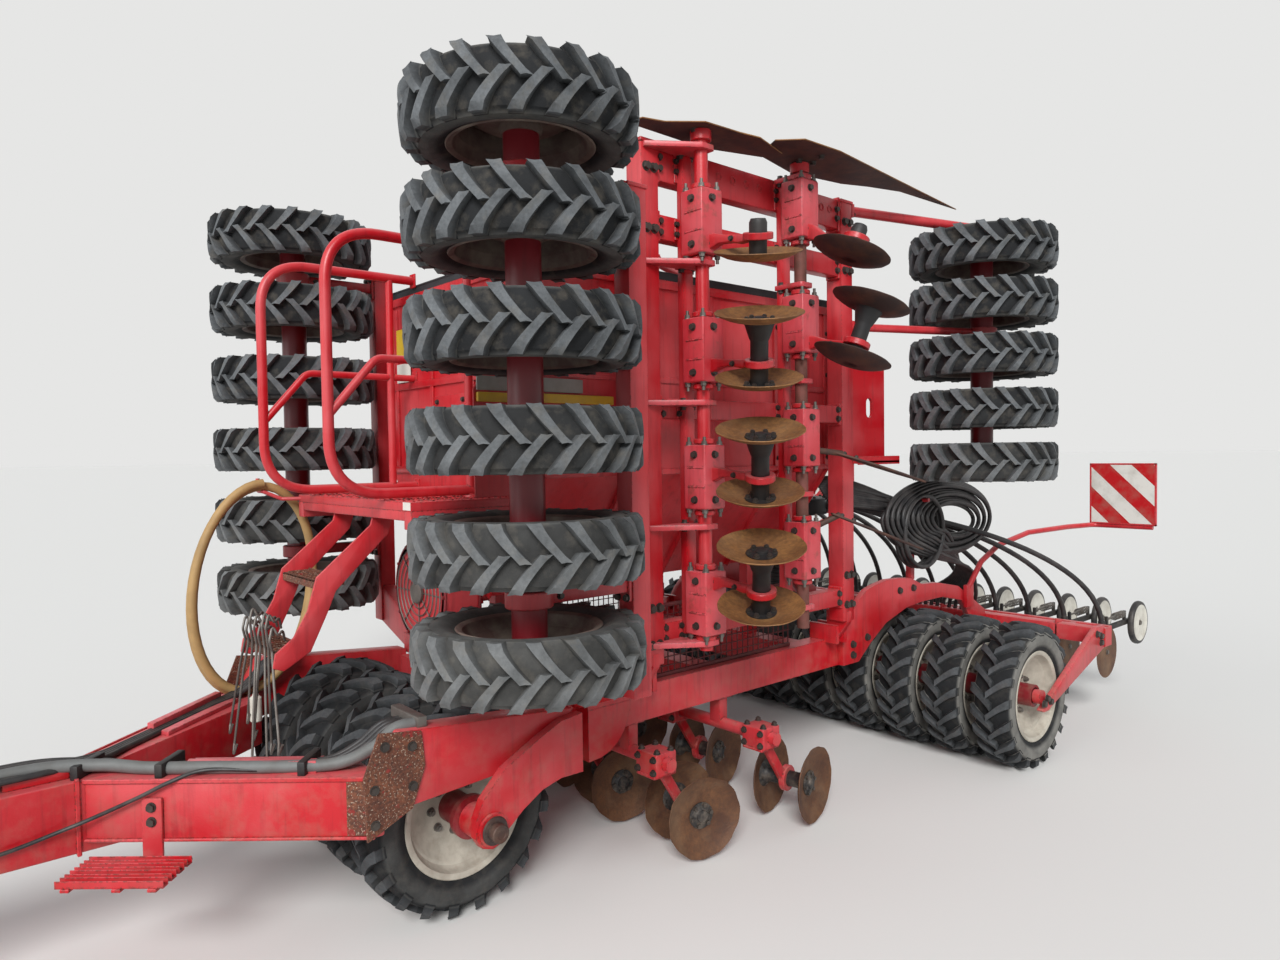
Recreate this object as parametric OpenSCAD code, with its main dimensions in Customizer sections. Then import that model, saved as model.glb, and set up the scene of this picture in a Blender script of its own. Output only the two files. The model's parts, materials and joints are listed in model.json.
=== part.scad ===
// Folded trailed seed drill with tyre packers, standing parked on its centre packers and its jack.
// X runs forward, Y to the machine's left, Z up. Ground is z = 0, the middle of the length is x = 0.

/* [Tyres] */
// Tyre radius out to the lug tips
tyre_r = 404; // [390:1:410]
// Tyre section width
tyre_w = 215; // [195:1:225]
// Radius of the rim's seat
rim_r = 235; // [220:1:245]
// Axle tube radius
axle_r = 62; // [50:1:70]

/* [Front packer] */
// Front axle ahead of the middle of the length
front_axle_x = 1220; // [1215:1:1225]
// Spacing of the front tyres
front_pitch = 361; // [350:1:370]
// Tyres on each folded front wing
front_wing_tyres = 6; // [4:1:6]
// Sideways place of the folded front axles
front_wing_y = 1100; // [1090:1:1110]
// Height of the lowest folded front tyre
front_wing_z = 1118; // [1110:1:1130]
// Sideways place of the front wing pivots
front_pivot_y = 700; // [698:1:702]
// Height of the front wing pivots
front_pivot_z = 804; // [800:1:808]

/* [Rear packer] */
// Rear axle behind the front axle
rear_back = 3150; // [3140:5:3160]
// Spacing of the rear tyres
rear_pitch = 300; // [290:1:305]
// Tyres on the centre rear packer
rear_centre_tyres = 10; // [8:2:10]
// Tyres on each folded rear wing
rear_wing_tyres = 5; // [4:1:5]
// Sideways place of the folded rear axles
rear_wing_y = 1120; // [1110:1:1125]
// Height of the lowest folded rear tyre
rear_wing_z = 1720; // [1710:1:1730]

/* [Wing frame] */
// Sideways place of the wing pivots
wing_pivot_y = 727; // [725:1:730]
// Height of the wing pivots
wing_pivot_z = 797; // [795:1:800]
// Place of the wing's posts behind the front axle
post_back = [840, 2260];
// Sideways place of the wing's posts
post_y = 770; // [765:1:775]
// Top of the wing's posts
post_top = 3140; // [3125:5:3150]
// Side of the square posts
post_side = 100; // [80:5:110]

/* [Discs] */
// Disc diameter
disc_d = 370; // [350:5:380]
// Disc dish depth
disc_dish = 40; // [30:1:44]
// Sideways place of the folded bars
bar_y = 930; // [925:1:935]
// Radius of the round bars
bar_r = 30; // [25:1:32]
// Spacing of the arm housings along a bar
clamp_pitch = 550; // [540:5:555]
// Height of one arm housing
clamp_h = 280; // [240:5:290]
// Width of one arm housing
clamp_w = 130; // [110:5:135]
// Sideways place of the folded discs
disc_y = 1250; // [1240:5:1260]
// Distance between the two discs of one housing
disc_pair = 265; // [255:5:270]
// Height of the centre discs
centre_disc_z = 195; // [192:1:200]

/* [Chassis] */
// Sideways place of the side beams
beam_y = 640; // [635:1:645]
// Width of the side beams
beam_w = 100; // [90:5:110]
// Underside of the side beams
beam_z = 590; // [585:5:600]
// Height of the side beams
beam_h = 160; // [140:5:170]

/* [Hopper] */
// Half width of the hopper
hopper_half = 620; // [600:5:625]
// Front of the hopper behind the front axle
hopper_front = 330; // [320:5:340]
// Back of the hopper behind the front axle
hopper_rear = 2350; // [2300:10:2360]
// Height of the top of the hopper
hopper_top = 2600; // [2580:5:2620]
// Height where the hopper starts to narrow
hopper_waist = 1700; // [1650:10:1720]
// Height of the hopper's outlet
hopper_low = 1160; // [1150:5:1180]
// Half width of the outlet
outlet_half = 230; // [210:5:240]
// Thickness of the hopper's sheet
sheet_t = 6; // [5:1:10]

/* [Drawbar] */
// Middle of the hitch eye ahead of the front axle
eye_front = 2580; // [2570:1:2590]
// Height of the hitch eye
eye_z = 560; // [550:5:570]
// Bore radius of the hitch eye
eye_bore_r = 25; // [20:0.5:25.5]
// Outer radius of the hitch eye
eye_r = 60; // [60:1:62]
// Thickness of the hitch eye
eye_t = 50; // [40:1:60]

/* [Platform] */
// Sideways place of the handrails
rail_y = 370; // [360:5:380]
// Front of the handrails ahead of the front axle
rail_front = 400; // [380:5:420]
// Handrail tube radius
rail_r = 21; // [16:1:24]
// Height of the handrails' foot
rail_low = 1650; // [1640:5:1660]
// Height of the handrails' top
rail_top = 2660; // [2600:5:2680]
// Height of the platform's deck
deck_z = 1625; // [1615:1:1628]

/* [Hidden] */
seat_gap = 0.3;
eps = 1;
paint = "firebrick";
deep_paint = "darkred";
rubber = "#2b2d2e";
rusty = "#6b4a36";
steel = "#9a9c9c";
black = "#1c1d1f";

// Frame helpers
module at_axle() {
    translate([front_axle_x, 0, 0]) children();
}

module both_sides() {
    children();
    mirror([0, 1, 0]) children();
}

module box_between(low, high) {
    translate(low) cube(high - low);
}

module along_x(x1, x2, r, fn = 32) {
    translate([x1, 0, 0]) rotate([0, 90, 0]) cylinder(h = x2 - x1, r = r, $fn = fn);
}

module along_y(y1, y2, r, fn = 32) {
    translate([0, y1, 0]) rotate([-90, 0, 0]) cylinder(h = y2 - y1, r = r, $fn = fn);
}

// A plate that lies in the XZ plane, from y1 to y2
module side_plate(points, y1, y2) {
    translate([0, y2, 0]) rotate([90, 0, 0]) linear_extrude(height = y2 - y1) polygon(points);
}

// A plate that lies in the YZ plane, from x1 to x2
module cross_plate(points, x1, x2) {
    translate([x1, 0, 0]) rotate([90, 0, 90]) linear_extrude(height = x2 - x1) polygon(points);
}

// A straight round rod between two points
module rod(a, b, r, fn = 16) {
    d = b - a;
    len = norm(d);
    translate(a)
        rotate([0, acos(d[2] / len), atan2(d[1], d[0])])
            cylinder(h = len, r = r, $fn = fn);
}

// Tyre with its axle along Z, middle at the origin: a carcass with slanting lugs on both halves
lug_h = 33;
lug_count = 6;
lug_t = 42;
lug_lean = 40;
lug_sink = 12;

// One lug of the upper half, its tip on the tyre's radius
module lug() {
    length = (tyre_w / 2 - lug_t * sin(lug_lean)) / cos(lug_lean);
    half_arc = (length * sin(lug_lean) + lug_t * cos(lug_lean)) / 2;
    tip = sqrt(tyre_r * tyre_r - half_arc * half_arc);
    translate([0, 0, tyre_w / 4]) rotate([lug_lean, 0, 0])
        box_between([tyre_r - lug_h - lug_sink, -lug_t / 2, -length / 2], [tip, lug_t / 2, length / 2]);
}

module tyre() {
    floor_r = tyre_r - lug_h;
    rotate_extrude($fn = 96)
        polygon([
            [rim_r, -tyre_w * 0.38], [rim_r + 60, -tyre_w * 0.48], [floor_r - 30, -tyre_w / 2],
            [floor_r - 6, -tyre_w * 0.45], [floor_r, -tyre_w * 0.3], [floor_r, tyre_w * 0.3],
            [floor_r - 6, tyre_w * 0.45], [floor_r - 30, tyre_w / 2], [rim_r + 60, tyre_w * 0.48],
            [rim_r, tyre_w * 0.38]
        ]);
    for (i = [0 : lug_count - 1]) {
        rotate([0, 0, (i + 0.5) * 360 / lug_count]) lug();
        rotate([0, 0, i * 360 / lug_count]) mirror([0, 0, 1]) lug();
    }
}

// Rim band with its web, axle along Z
module rim() {
    rotate_extrude($fn = 64)
        polygon([
            [axle_r - eps, -12], [axle_r + 60, -12], [rim_r - 30, 40], [rim_r - 14, 70],
            [rim_r - 14, tyre_w * 0.37], [rim_r - seat_gap, tyre_w * 0.37],
            [rim_r - seat_gap, -tyre_w * 0.37], [rim_r - 14, -tyre_w * 0.37], [rim_r - 14, 20],
            [rim_r - 32, 14], [axle_r + 60, -24], [axle_r - eps, -24]
        ]);
}

module tyre_row(count, pitch) {
    for (i = [0 : count - 1])
        translate([0, 0, i * pitch]) tyre();
}

module axle_row(count, pitch, below, above) {
    translate([0, 0, -below]) cylinder(h = (count - 1) * pitch + below + above, r = axle_r, $fn = 48);
    for (i = [0 : count - 1])
        translate([0, 0, i * pitch]) rim();
}

// Places a row that is built along Z so that it lies along Y, its middle on the centre line
module lying(count, pitch) {
    translate([0, -(count - 1) * pitch / 2, 0]) rotate([-90, 0, 0]) children();
}

front_centre_count = 4;
front_tyre_half = (front_centre_count - 1) * front_pitch / 2 + tyre_w / 2;
axle_over = 40;
rear_tyre_half = (rear_centre_tyres - 1) * rear_pitch / 2 + tyre_w / 2;

module front_centre_tyres() {
    color(rubber) at_axle() translate([0, 0, tyre_r])
        lying(front_centre_count, front_pitch) tyre_row(front_centre_count, front_pitch);
}

module front_centre_axle() {
    over = tyre_w / 2 + axle_over;
    color(deep_paint) at_axle() translate([0, 0, tyre_r])
        lying(front_centre_count, front_pitch)
            axle_row(front_centre_count, front_pitch, over, over);
}

module rear_centre_tyres_row() {
    color(rubber) at_axle() translate([-rear_back, 0, tyre_r])
        lying(rear_centre_tyres, rear_pitch) tyre_row(rear_centre_tyres, rear_pitch);
}

module rear_centre_axle() {
    over = tyre_w * 0.3;
    color(deep_paint) at_axle() translate([-rear_back, 0, tyre_r])
        lying(rear_centre_tyres, rear_pitch)
            axle_row(rear_centre_tyres, rear_pitch, over, over);
}

module front_wing_tyres_row() {
    color(rubber) at_axle() translate([0, front_wing_y, front_wing_z])
        tyre_row(front_wing_tyres, front_pitch);
}

module front_wing_axle() {
    color(deep_paint) at_axle() translate([0, front_wing_y, front_wing_z])
        axle_row(front_wing_tyres, front_pitch, tyre_w / 2, tyre_w / 2);
}

module rear_wing_tyres_row() {
    color(rubber) at_axle() translate([-rear_back, rear_wing_y, rear_wing_z])
        tyre_row(rear_wing_tyres, rear_pitch);
}

module rear_wing_axle() {
    color(deep_paint) at_axle() translate([-rear_back, rear_wing_y, rear_wing_z])
        axle_row(rear_wing_tyres, rear_pitch, tyre_w / 2, tyre_w / 2 + top_arm_rise + 28);
}

// Front wing: a beam behind the stack, bearing arms between the tyres and the pivot bracket
front_beam_gap = 76;
front_beam_back = tyre_r + front_beam_gap;
front_beam_side = 90;
bearing_gap = 0.5;
bearing_r = axle_r + 22;

module front_wing_frame() {
    low = front_pivot_z + 60;
    high = front_wing_z + (front_wing_tyres - 1.5) * front_pitch + 60;
    arm_low = front_wing_z + front_pitch / 2;
    arm_high = front_wing_z + (front_wing_tyres - 1.5) * front_pitch;
    color(paint) at_axle() {
        translate([-front_beam_back - front_beam_side / 2, front_wing_y - front_beam_side / 2, low])
            cube([front_beam_side, front_beam_side, high - low]);
        for (z = [arm_low, arm_high])
            difference() {
                union() {
                    translate([0, front_wing_y, z - 30]) cylinder(h = 60, r = bearing_r, $fn = 48);
                    translate([-front_beam_back, front_wing_y - 30, z - 25])
                        cube([front_beam_back - axle_r - 4, 60, 50]);
                }
                translate([0, front_wing_y, z - 40])
                    cylinder(h = 80, r = axle_r + bearing_gap, $fn = 48);
            }
        // Pivot bracket that reaches in from the beam to the pivot pin
        difference() {
            cross_plate([
                [front_pivot_y - 55, front_pivot_z - 55], [front_pivot_y + 60, front_pivot_z - 55],
                [front_wing_y + front_beam_side / 2, low + 20],
                [front_wing_y + front_beam_side / 2, low + 200],
                [front_wing_y - front_beam_side / 2, low + 200],
                [front_pivot_y - 55, front_pivot_z + 60]
            ], -front_beam_back - 35, -front_beam_back + 35);
            translate([-front_beam_back, front_pivot_y, front_pivot_z])
                along_x(-60, 60, pivot_pin_r + pin_play, 32);
        }
    }
}

// Pivots
pivot_pin_r = 25;
pin_play = 0.4;
wing_lug_t = 40;

// Main wing: two posts, cross beams, the packer's arms and the lower pivot lugs
// Heights and half heights of the cross beams
cross_levels = [1000, 1990, 2780, 3055];
cross_halves = [45, 45, 54, 78];
top_arm_rise = 34;
packer_arm_levels = [
    rear_wing_z + (rear_wing_tyres - 2.5) * rear_pitch,
    rear_wing_z + (rear_wing_tyres - 1) * rear_pitch + tyre_w / 2 + top_arm_rise
];
packer_arm_r = [22, 27];
// Heights at which the two arms start on the rear post
packer_foot_z = [2470, 3100];
gusset_back = 2700;
gusset_low = 1740;
gusset_high = 2330;
// Heights of the plates that hold the front and the rear disc bar
plate_levels = [[960, 1470, 2010, 2615, 3110], [1030, 1585, 2135, 2600, 3120]];

module wing_post(x) {
    low = wing_pivot_z + 70;
    out = post_y + post_side / 2;
    difference() {
        union() {
            translate([-x - post_side / 2, post_y - post_side / 2, low])
                cube([post_side, post_side, post_top - low]);
            cross_plate([
                [wing_pivot_y - 45, wing_pivot_z - 35], [wing_pivot_y + 20, wing_pivot_z - 35],
                [out, wing_pivot_z + 60], [out, low + 50], [wing_pivot_y - 45, low + 50]
            ], -x - wing_lug_t / 2, -x + wing_lug_t / 2);
        }
        translate([-x, wing_pivot_y, wing_pivot_z]) along_x(-80, 80, pivot_pin_r + pin_play, 32);
    }
}

module wing_posts() {
    front_x = -post_back[0];
    rear_x = -post_back[1];
    slot_z = (gusset_low + gusset_high) / 2;
    color(paint) at_axle() {
        wing_post(post_back[0]);
        wing_post(post_back[1]);
        // Gusset behind the rear post, with its slot and its ledge
        difference() {
            box_between([-gusset_back, post_y - 25, gusset_low], [rear_x - 40, post_y - 10, gusset_high]);
            for (s = [-1, 1])
                translate([rear_x - 260, post_y, slot_z + s * 28]) along_y(-40, 10, 28, 24);
            box_between([rear_x - 288, post_y - 40, slot_z - 28], [rear_x - 232, post_y + 10, slot_z + 28]);
        }
        box_between([-gusset_back, post_y - 25, gusset_low - 18], [rear_x - 40, post_y + 90, gusset_low]);
    }
}

// Cross beams between the two posts
beam_side = 35;

module wing_beams() {
    color(paint) at_axle()
        for (i = [0 : 3])
            box_between([-post_back[1] + post_side / 2, post_y - beam_side, cross_levels[i] - cross_halves[i]],
                [-post_back[0] - post_side / 2, post_y + beam_side, cross_levels[i] + cross_halves[i]]);
}

// Outline of a plate that holds a disc bar; those of the front bar reach forward to the post's face
function holder_outline(k) = let (b = -bar_back[k], face = post_y + beam_side, out = post_y + post_side / 2)
    concat([[b - 45, face], [b - 45, bar_y + 45], [b + 45, bar_y + 45]],
        k == 0 ? [[-post_back[0] + 40, out + 12], [-post_back[0] + 40, out], [b + 60, out]] : [], [[b + 45, face]]);

// Upright rails on the cross beams, with the plates that hold the two disc bars
module wing_rails() {
    color(paint) at_axle()
        for (k = [0, 1]) {
            box_between([-bar_back[k] - 30, post_y + beam_side, cross_levels[0] - cross_halves[0]],
                [-bar_back[k] + 30, post_y + beam_side + 40, post_top]);
            for (z = plate_levels[k])
                difference() {
                    side_plate_z(holder_outline(k), z - 12, z + 12);
                    translate([-bar_back[k], bar_y, z - 20])
                        cylinder(h = 40, r = bar_r + seat_gap, $fn = 24);
                }
        }
}

// Arms from the rear post to the packer's axle, each with its foot and its bearing
module packer_arms() {
    foot_x = -post_back[1] - post_side / 2;
    color(paint) at_axle()
        for (k = [0, 1]) {
            z = packer_arm_levels[k];
            foot_z = packer_foot_z[k];
            difference() {
                union() {
                    rod([-rear_back, rear_wing_y, z], [foot_x - 14, post_y + 10, foot_z], packer_arm_r[k], 24);
                    box_between([foot_x - 24, post_y - 40, foot_z - 40], [foot_x, post_y + 50, foot_z + 30]);
                    translate([-rear_back, rear_wing_y, z - 22]) cylinder(h = 44, r = bearing_r, $fn = 48);
                }
                translate([-rear_back, rear_wing_y, z - 40])
                    cylinder(h = 80, r = axle_r + bearing_gap, $fn = 48);
            }
        }
}

// Disc bars: round bars with arm housings, each with two arms
bar_back = [1040, 1720];
bar_low = 925;
bar_top = post_top + 45;
clamp_first = [1137, 1310];
clamp_count = 4;
// First housing of each bar that has a disc arm; those below it on the rear bar hold the levelling blades
first_arm = [0, 2];
// Heights of the disc arms on the front bar, and of the blades and the disc arms on the rear bar
arm_levels = [[1217, 1689, 2156, 2672], [1420, 1790, 2284, 2762]];
arm_below = 100;
arm_above = disc_pair - arm_below;
// Steering and undercut angles of the discs on the front and the rear bar
disc_turn = [[-12, 13, 0], [-11, -17, 0]];
// Height of the arm's underside where it passes over the lower disc's rim
rim_pass = -1;
hub_r = 38;
ring_r = 62;
arm_t = 28;

// An arm from a bar's housing to its hub, its ring round the hub; lift raises the root into the housing
module disc_arm(k, z, lift) {
    x = -bar_back[k];
    rim_y = disc_y - disc_d / 2;
    difference() {
        union() {
            cross_plate([[bar_y + 20, z + lift - 40], [bar_y + 20, z + lift + 40], [bar_y + 90, z + lift * 0.7 + 40],
                [bar_y + 150, z + lift * 0.3 + 30], [disc_y - 30, z + arm_t / 2], [disc_y - 30, z - arm_t / 2],
                [rim_y + 90, z - arm_t / 2], [rim_y + 45, z + rim_pass],
                [rim_y - 20, z + rim_pass + lift * 0.3]], x - 20, x + 20);
            translate([x, disc_y, z]) rotate(disc_turn[k]) translate([0, 0, -arm_t / 2])
                cylinder(h = arm_t, r = ring_r, $fn = 32);
        }
        translate([x, disc_y, z]) rotate(disc_turn[k]) translate([0, 0, -70])
            cylinder(h = 140, r = hub_r + seat_gap, $fn = 32);
    }
}

module disc_bars() {
    color(paint) at_axle()
        for (k = [0, 1]) {
            b = bar_back[k];
            translate([-b, bar_y, bar_low]) cylinder(h = bar_top - bar_low, r = bar_r, $fn = 24);
            translate([-b, bar_y, post_top]) cylinder(h = bar_top - post_top, r = 46, $fn = 32);
            for (i = [0 : clamp_count - 1]) {
                z = clamp_first[k] + i * clamp_pitch;
                box_between([-b - clamp_w / 2, bar_y - clamp_w / 2, z - clamp_h / 2],
                    [-b + clamp_w / 2, bar_y + clamp_w / 2, z + clamp_h / 2]);
                if (i >= first_arm[k])
                    disc_arm(k, arm_levels[k][i], max(0, z - clamp_h / 2 + 45 - arm_levels[k][i]));
            }
        }
}

// One dished disc, axis along Z, its dish opening upward
module dished_disc() {
    r = disc_d / 2;
    rotate_extrude($fn = 48)
        polygon([
            [0, 0], [r * 0.35, 0], [r * 0.7, disc_dish * 0.35], [r, disc_dish],
            [r, disc_dish + 5], [r * 0.7, disc_dish * 0.35 + 6], [r * 0.35, 6], [0, 6]
        ]);
}

// The discs of one arm on their shared hub; the last arm of a bar carries one disc
module disc_set(both) {
    translate([0, 0, -arm_below - 12]) cylinder(h = 12 + eps, r = 26, $fn = 24);
    translate([0, 0, -arm_below]) dished_disc();
    translate([0, 0, -arm_below]) cylinder(h = both ? arm_below + arm_above : arm_below + 70, r = hub_r, $fn = 32);
    if (both) {
        translate([0, 0, arm_above - 70]) cylinder(h = 70, r1 = hub_r, r2 = 66, $fn = 32);
        translate([0, 0, arm_above]) dished_disc();
        translate([0, 0, arm_above + 6 - eps]) cylinder(h = 14, r = 26, $fn = 24);
    }
}

// Levelling blade: a leaf of sheet on a short bracket behind its housing
// Columns: place of its front end, heading and fall
blades = [[[-1900, 985, 1420 + 62], [0, 22, 144]], [[-1930, 980, 1788], [0, 18, 146]]];
blade_t = 10;

module levelling_blade(i) {
    z = blades[i][0][2];
    back = -bar_back[1] - clamp_w / 2;
    root = clamp_first[1] + i * clamp_pitch + (i == 0 ? 105 : -60);
    box_between([back - 50, bar_y - 25, root - 28], [back, bar_y + 25, root + 28]);
    rod([back - 30, bar_y, root], blades[i][0] + [-30, 15, -8], 15, 16);
    translate(blades[i][0]) rotate(blades[i][1]) translate([0, 0, -blade_t])
        linear_extrude(height = blade_t)
            polygon([[-10, -20], [70, -46], [200, -60], [360, -46], [500, -6], [500, 6], [360, 46], [200, 60],
                [70, 46], [-10, 20]]);
}

module discs() {
    color(rusty) at_axle() {
        for (k = [0, 1])
            for (i = [first_arm[k] : clamp_count - 1])
                translate([-bar_back[k], disc_y, arm_levels[k][i]]) rotate(disc_turn[k])
                    disc_set(i < clamp_count - 1);
        for (i = [0, 1])
            levelling_blade(i);
    }
}

// Side deflectors that stand on top of the folded wing
module deflectors() {
    t = 12;
    color(rusty) at_axle() {
        side_plate_z([[-730, 800], [-750, 880], [-850, 907], [-985, 1013], [-1190, 1023], [-1304, 1039],
            [-1539, 970], [-1500, 880], [-1200, 790]], bar_top, bar_top + t);
        side_plate_z([[-1394, 1050], [-1489, 1143], [-1741, 1151], [-2118, 1108], [-3080, 1000], [-2514, 986],
            [-2301, 927], [-2141, 864], [-1800, 810], [-1480, 880]], bar_top, bar_top + t);
    }
}

module side_plate_z(points, z1, z2) {
    translate([0, 0, z1]) linear_extrude(height = z2 - z1) polygon(points);
}

// Chassis: side beams, cross members, ears for the pivots and legs under the hopper
chassis_front = front_beam_back + 80;
chassis_rear = 2420;
riser_back = front_beam_back - 80;
riser_in = [520, 610];
cross_low = 620;
ear_t = 25;
ear_gap = 3;

module pivot_ears(x, y, z, half) {
    for (s = [-1, 1])
        difference() {
            box_between([-x + s * (half + ear_gap + ear_t / 2) - ear_t / 2, riser_in[1] - 20, z - 60],
                [-x + s * (half + ear_gap + ear_t / 2) + ear_t / 2, y + 42, z + 42]);
            translate([-x, y, z]) along_x(-150, 150, pivot_pin_r + pin_play, 32);
        }
    translate([-x, y, z])
        along_x(-half - ear_gap - ear_t, half + ear_gap + ear_t, pivot_pin_r, 32);
}

module chassis() {
    color(paint) at_axle() {
        both_sides() {
            box_between([-chassis_rear, beam_y - beam_w / 2, beam_z],
                [-chassis_front, beam_y + beam_w / 2, beam_z + beam_h]);
            for (x = post_back)
                pivot_ears(x, wing_pivot_y, wing_pivot_z, wing_lug_t / 2);
            pivot_ears(front_beam_back, front_pivot_y, front_pivot_z, 35);
        }
        both_sides() {
            box_between([-chassis_front - 1, riser_in[0], beam_z],
                [-riser_back, riser_in[1], front_pivot_z + 42]);
            // Curved plates under the front pivot
            side_plate([[-425, 512], [-425, 640], [-565, 640], [-565, 478], [-530, 474], [-470, 488]],
                riser_in[1] - 10, riser_in[1] + 30);
            side_plate([[-561, 478], [-630, 484], [-680, 500], [-730, 535], [-765, 580], [-790, 645],
                [-800, 700], [-561, 700]], beam_y + 10, beam_y + beam_w / 2 + 2);
        }
        box_between([-riser_back - 30, -drawbar_in, cross_low],
            [-riser_back + 30, drawbar_in, cross_low + 120]);
        box_between([-riser_back - 100, -riser_in[1], cross_low],
            [-riser_back - 30, riser_in[1], cross_low + 120]);
        for (x = [chassis_front + 60, 1380, chassis_rear - 330])
            box_between([-x - 60, -beam_y, beam_z + 10], [-x + 60, beam_y, beam_z + beam_h - 10]);
        // Legs that carry the hopper
        for (x = [700, 2100])
            both_sides()
                box_between([-x - 40, 200, beam_z + beam_h], [-x + 40, 260, hopper_low]);
        for (x = [700, 2100])
            box_between([-x - 40, -260, beam_z + beam_h - 100], [-x + 40, 260, beam_z + beam_h + 1]);
    }
}

// Drawbar: two beams that meet in the nose box, then the inclined beams up to the chassis
nose_half = 120;
nose_low = 450;
nose_high = 700;
nose_back = 1060;
nose_front = 2380;
nose_corner = 120;
knee_x = 430;
drawbar_low = 490;
drawbar_high = 700;

drawbar_in = 690;
drawbar_out = 790;

module drawbar_nose() {
    color(paint) at_axle() {
        box_between([nose_back, -nose_half, nose_low], [nose_front, nose_half, nose_high]);
        // Tongue that carries the eye
        box_between([nose_front, -60, eye_z - eye_t / 2 - 20],
            [eye_front - eye_r, 60, eye_z + eye_t / 2 + 20]);
    }
}

// One side: the beam from the nose to the knee, then the inclined beam back to the chassis
module drawbar_side() {
    color(paint) at_axle() {
        translate([0, 0, drawbar_low]) linear_extrude(height = drawbar_high - drawbar_low)
            polygon([
                [nose_back + nose_corner, nose_half], [nose_back, nose_half], [nose_back, 30],
                [knee_x - 30, drawbar_in - 190], [knee_x - 30, drawbar_out], [knee_x, drawbar_out]
            ]);
        side_plate([
            [knee_x - 10, drawbar_low], [knee_x - 10, drawbar_high], [knee_x - 90, drawbar_high + 138],
            [-riser_back - 5, cross_low + 150], [-riser_back - 5, cross_low - 15],
            [knee_x - 60, drawbar_low + 70]
        ], drawbar_in, drawbar_out);
    }
}

module hitch_eye() {
    color(steel) at_axle()
        difference() {
            union() {
                translate([eye_front, 0, eye_z - eye_t / 2]) cylinder(h = eye_t, r = eye_r, $fn = 48);
                box_between([eye_front - eye_r, -50, eye_z - eye_t / 2],
                    [eye_front - eye_bore_r - 12, 50, eye_z + eye_t / 2]);
            }
            translate([eye_front, 0, eye_z - eye_t]) cylinder(h = 2 * eye_t, r = eye_bore_r, $fn = 48);
        }
}

jack_x = 2000;
jack_y = nose_half + 50;
jack_leg_r = 30;

module jack_sleeve() {
    color(paint) at_axle()
        difference() {
            union() {
                translate([jack_x, jack_y, 380]) cylinder(h = 480, r = 42, $fn = 32);
                box_between([jack_x - 35, nose_half, 520], [jack_x + 35, jack_y, 640]);
            }
            translate([jack_x, jack_y, 370]) cylinder(h = 500, r = jack_leg_r + 1, $fn = 32);
        }
}

module jack_leg() {
    color(steel) at_axle() {
        translate([jack_x, jack_y, 10]) cylinder(h = 780, r = jack_leg_r, $fn = 32);
        translate([jack_x, jack_y, 0]) cylinder(h = 20, r = 110, $fn = 32);
    }
}

// Step that hangs from the outer face of the left beam
module drawbar_step() {
    corner = [nose_back + nose_corner, nose_half];
    color(paint) at_axle()
        translate([corner[0], corner[1], 0])
            rotate([0, 0, atan2(drawbar_out - corner[1], knee_x - corner[0])]) {
                for (i = [0 : 3])
                    box_between([40, -70 - i * 48, 430], [390, -40 - i * 48, 455]);
                for (x = [60, 225, 340])
                    box_between([x, -220, 420], [x + 30, 0, 440]);
                box_between([205, -16, 420], [275, 0, 640]);
            }
}

// Side arms that hold the front centre packer
module front_arms() {
    y1 = drawbar_out;
    y2 = drawbar_out + 40;
    color(paint) at_axle()
        both_sides() {
            side_plate([
                [-70, tyre_r - 20], [-45, tyre_r - 60], [0, tyre_r - 75], [45, tyre_r - 60],
                [70, tyre_r - 20], [66, tyre_r + 50], [36, tyre_r + 117], [-57, tyre_r + 210],
                [-220, tyre_r + 292], [-322, tyre_r + 336], [-425, tyre_r + 348], [-425, tyre_r + 108],
                [-317, tyre_r + 110], [-225, tyre_r + 86], [-138, tyre_r + 35]
            ], y1, y2);
            translate([0, 0, tyre_r])
                along_y(front_tyre_half + axle_over + seat_gap, y1 + 5, axle_r);
            translate([0, 0, tyre_r]) along_y(y2 - 5, y2 + 14, 62);
            translate([0, 0, tyre_r]) along_y(y2, y2 + 60, 34);
        }
}

// Hopper: open topped, walls of sheet, with an outlet trough
// Cross section, in by a wall's thickness and up by rise
module hopper_outline(wall, rise) {
    polygon([
        [-outlet_half + wall, hopper_low + wall], [outlet_half - wall, hopper_low + wall],
        [hopper_half - wall, hopper_waist + wall / 2], [hopper_half - wall, hopper_top + rise],
        [-hopper_half + wall, hopper_top + rise], [-hopper_half + wall, hopper_waist + wall / 2]
    ]);
}

module hopper() {
    color(paint) at_axle() {
        hopper_hinges();
        difference() {
            translate([-hopper_rear, 0, 0]) rotate([90, 0, 90])
                linear_extrude(height = hopper_rear - hopper_front) hopper_outline(0, 0);
            translate([-hopper_rear + sheet_t, 0, 0]) rotate([90, 0, 90])
                linear_extrude(height = hopper_rear - hopper_front - 2 * sheet_t)
                    hopper_outline(sheet_t, 1);
        }
    }
}

// Hinge of the cover along the right edge: pins in ears on the hopper, barrels on the cover
hinge_y = -hopper_half - 20;
hinge_z = hopper_top + 15;
hinge_pin_r = 8;
barrel_r = 14;
barrel_half = 50;
hinge_places = [700, 1340, 1980];

module hopper_hinges() {
    for (x = hinge_places)
        translate([-x, 0, 0]) {
            translate([0, hinge_y, hinge_z]) along_x(-barrel_half - 22, barrel_half + 22, hinge_pin_r, 24);
            for (s = [-1, 1])
                translate([s * (barrel_half + 12), 0, 0]) {
                    translate([0, hinge_y, hinge_z]) along_x(-10, 10, 12, 24);
                    box_between([-10, hinge_y - 12, hinge_z - 75], [10, hinge_y + 12, hinge_z]);
                    box_between([-10, hinge_y - 12, hinge_z - 75], [10, -hopper_half + sheet_t, hinge_z - 25]);
                }
        }
}

lid_t = 30;

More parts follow.
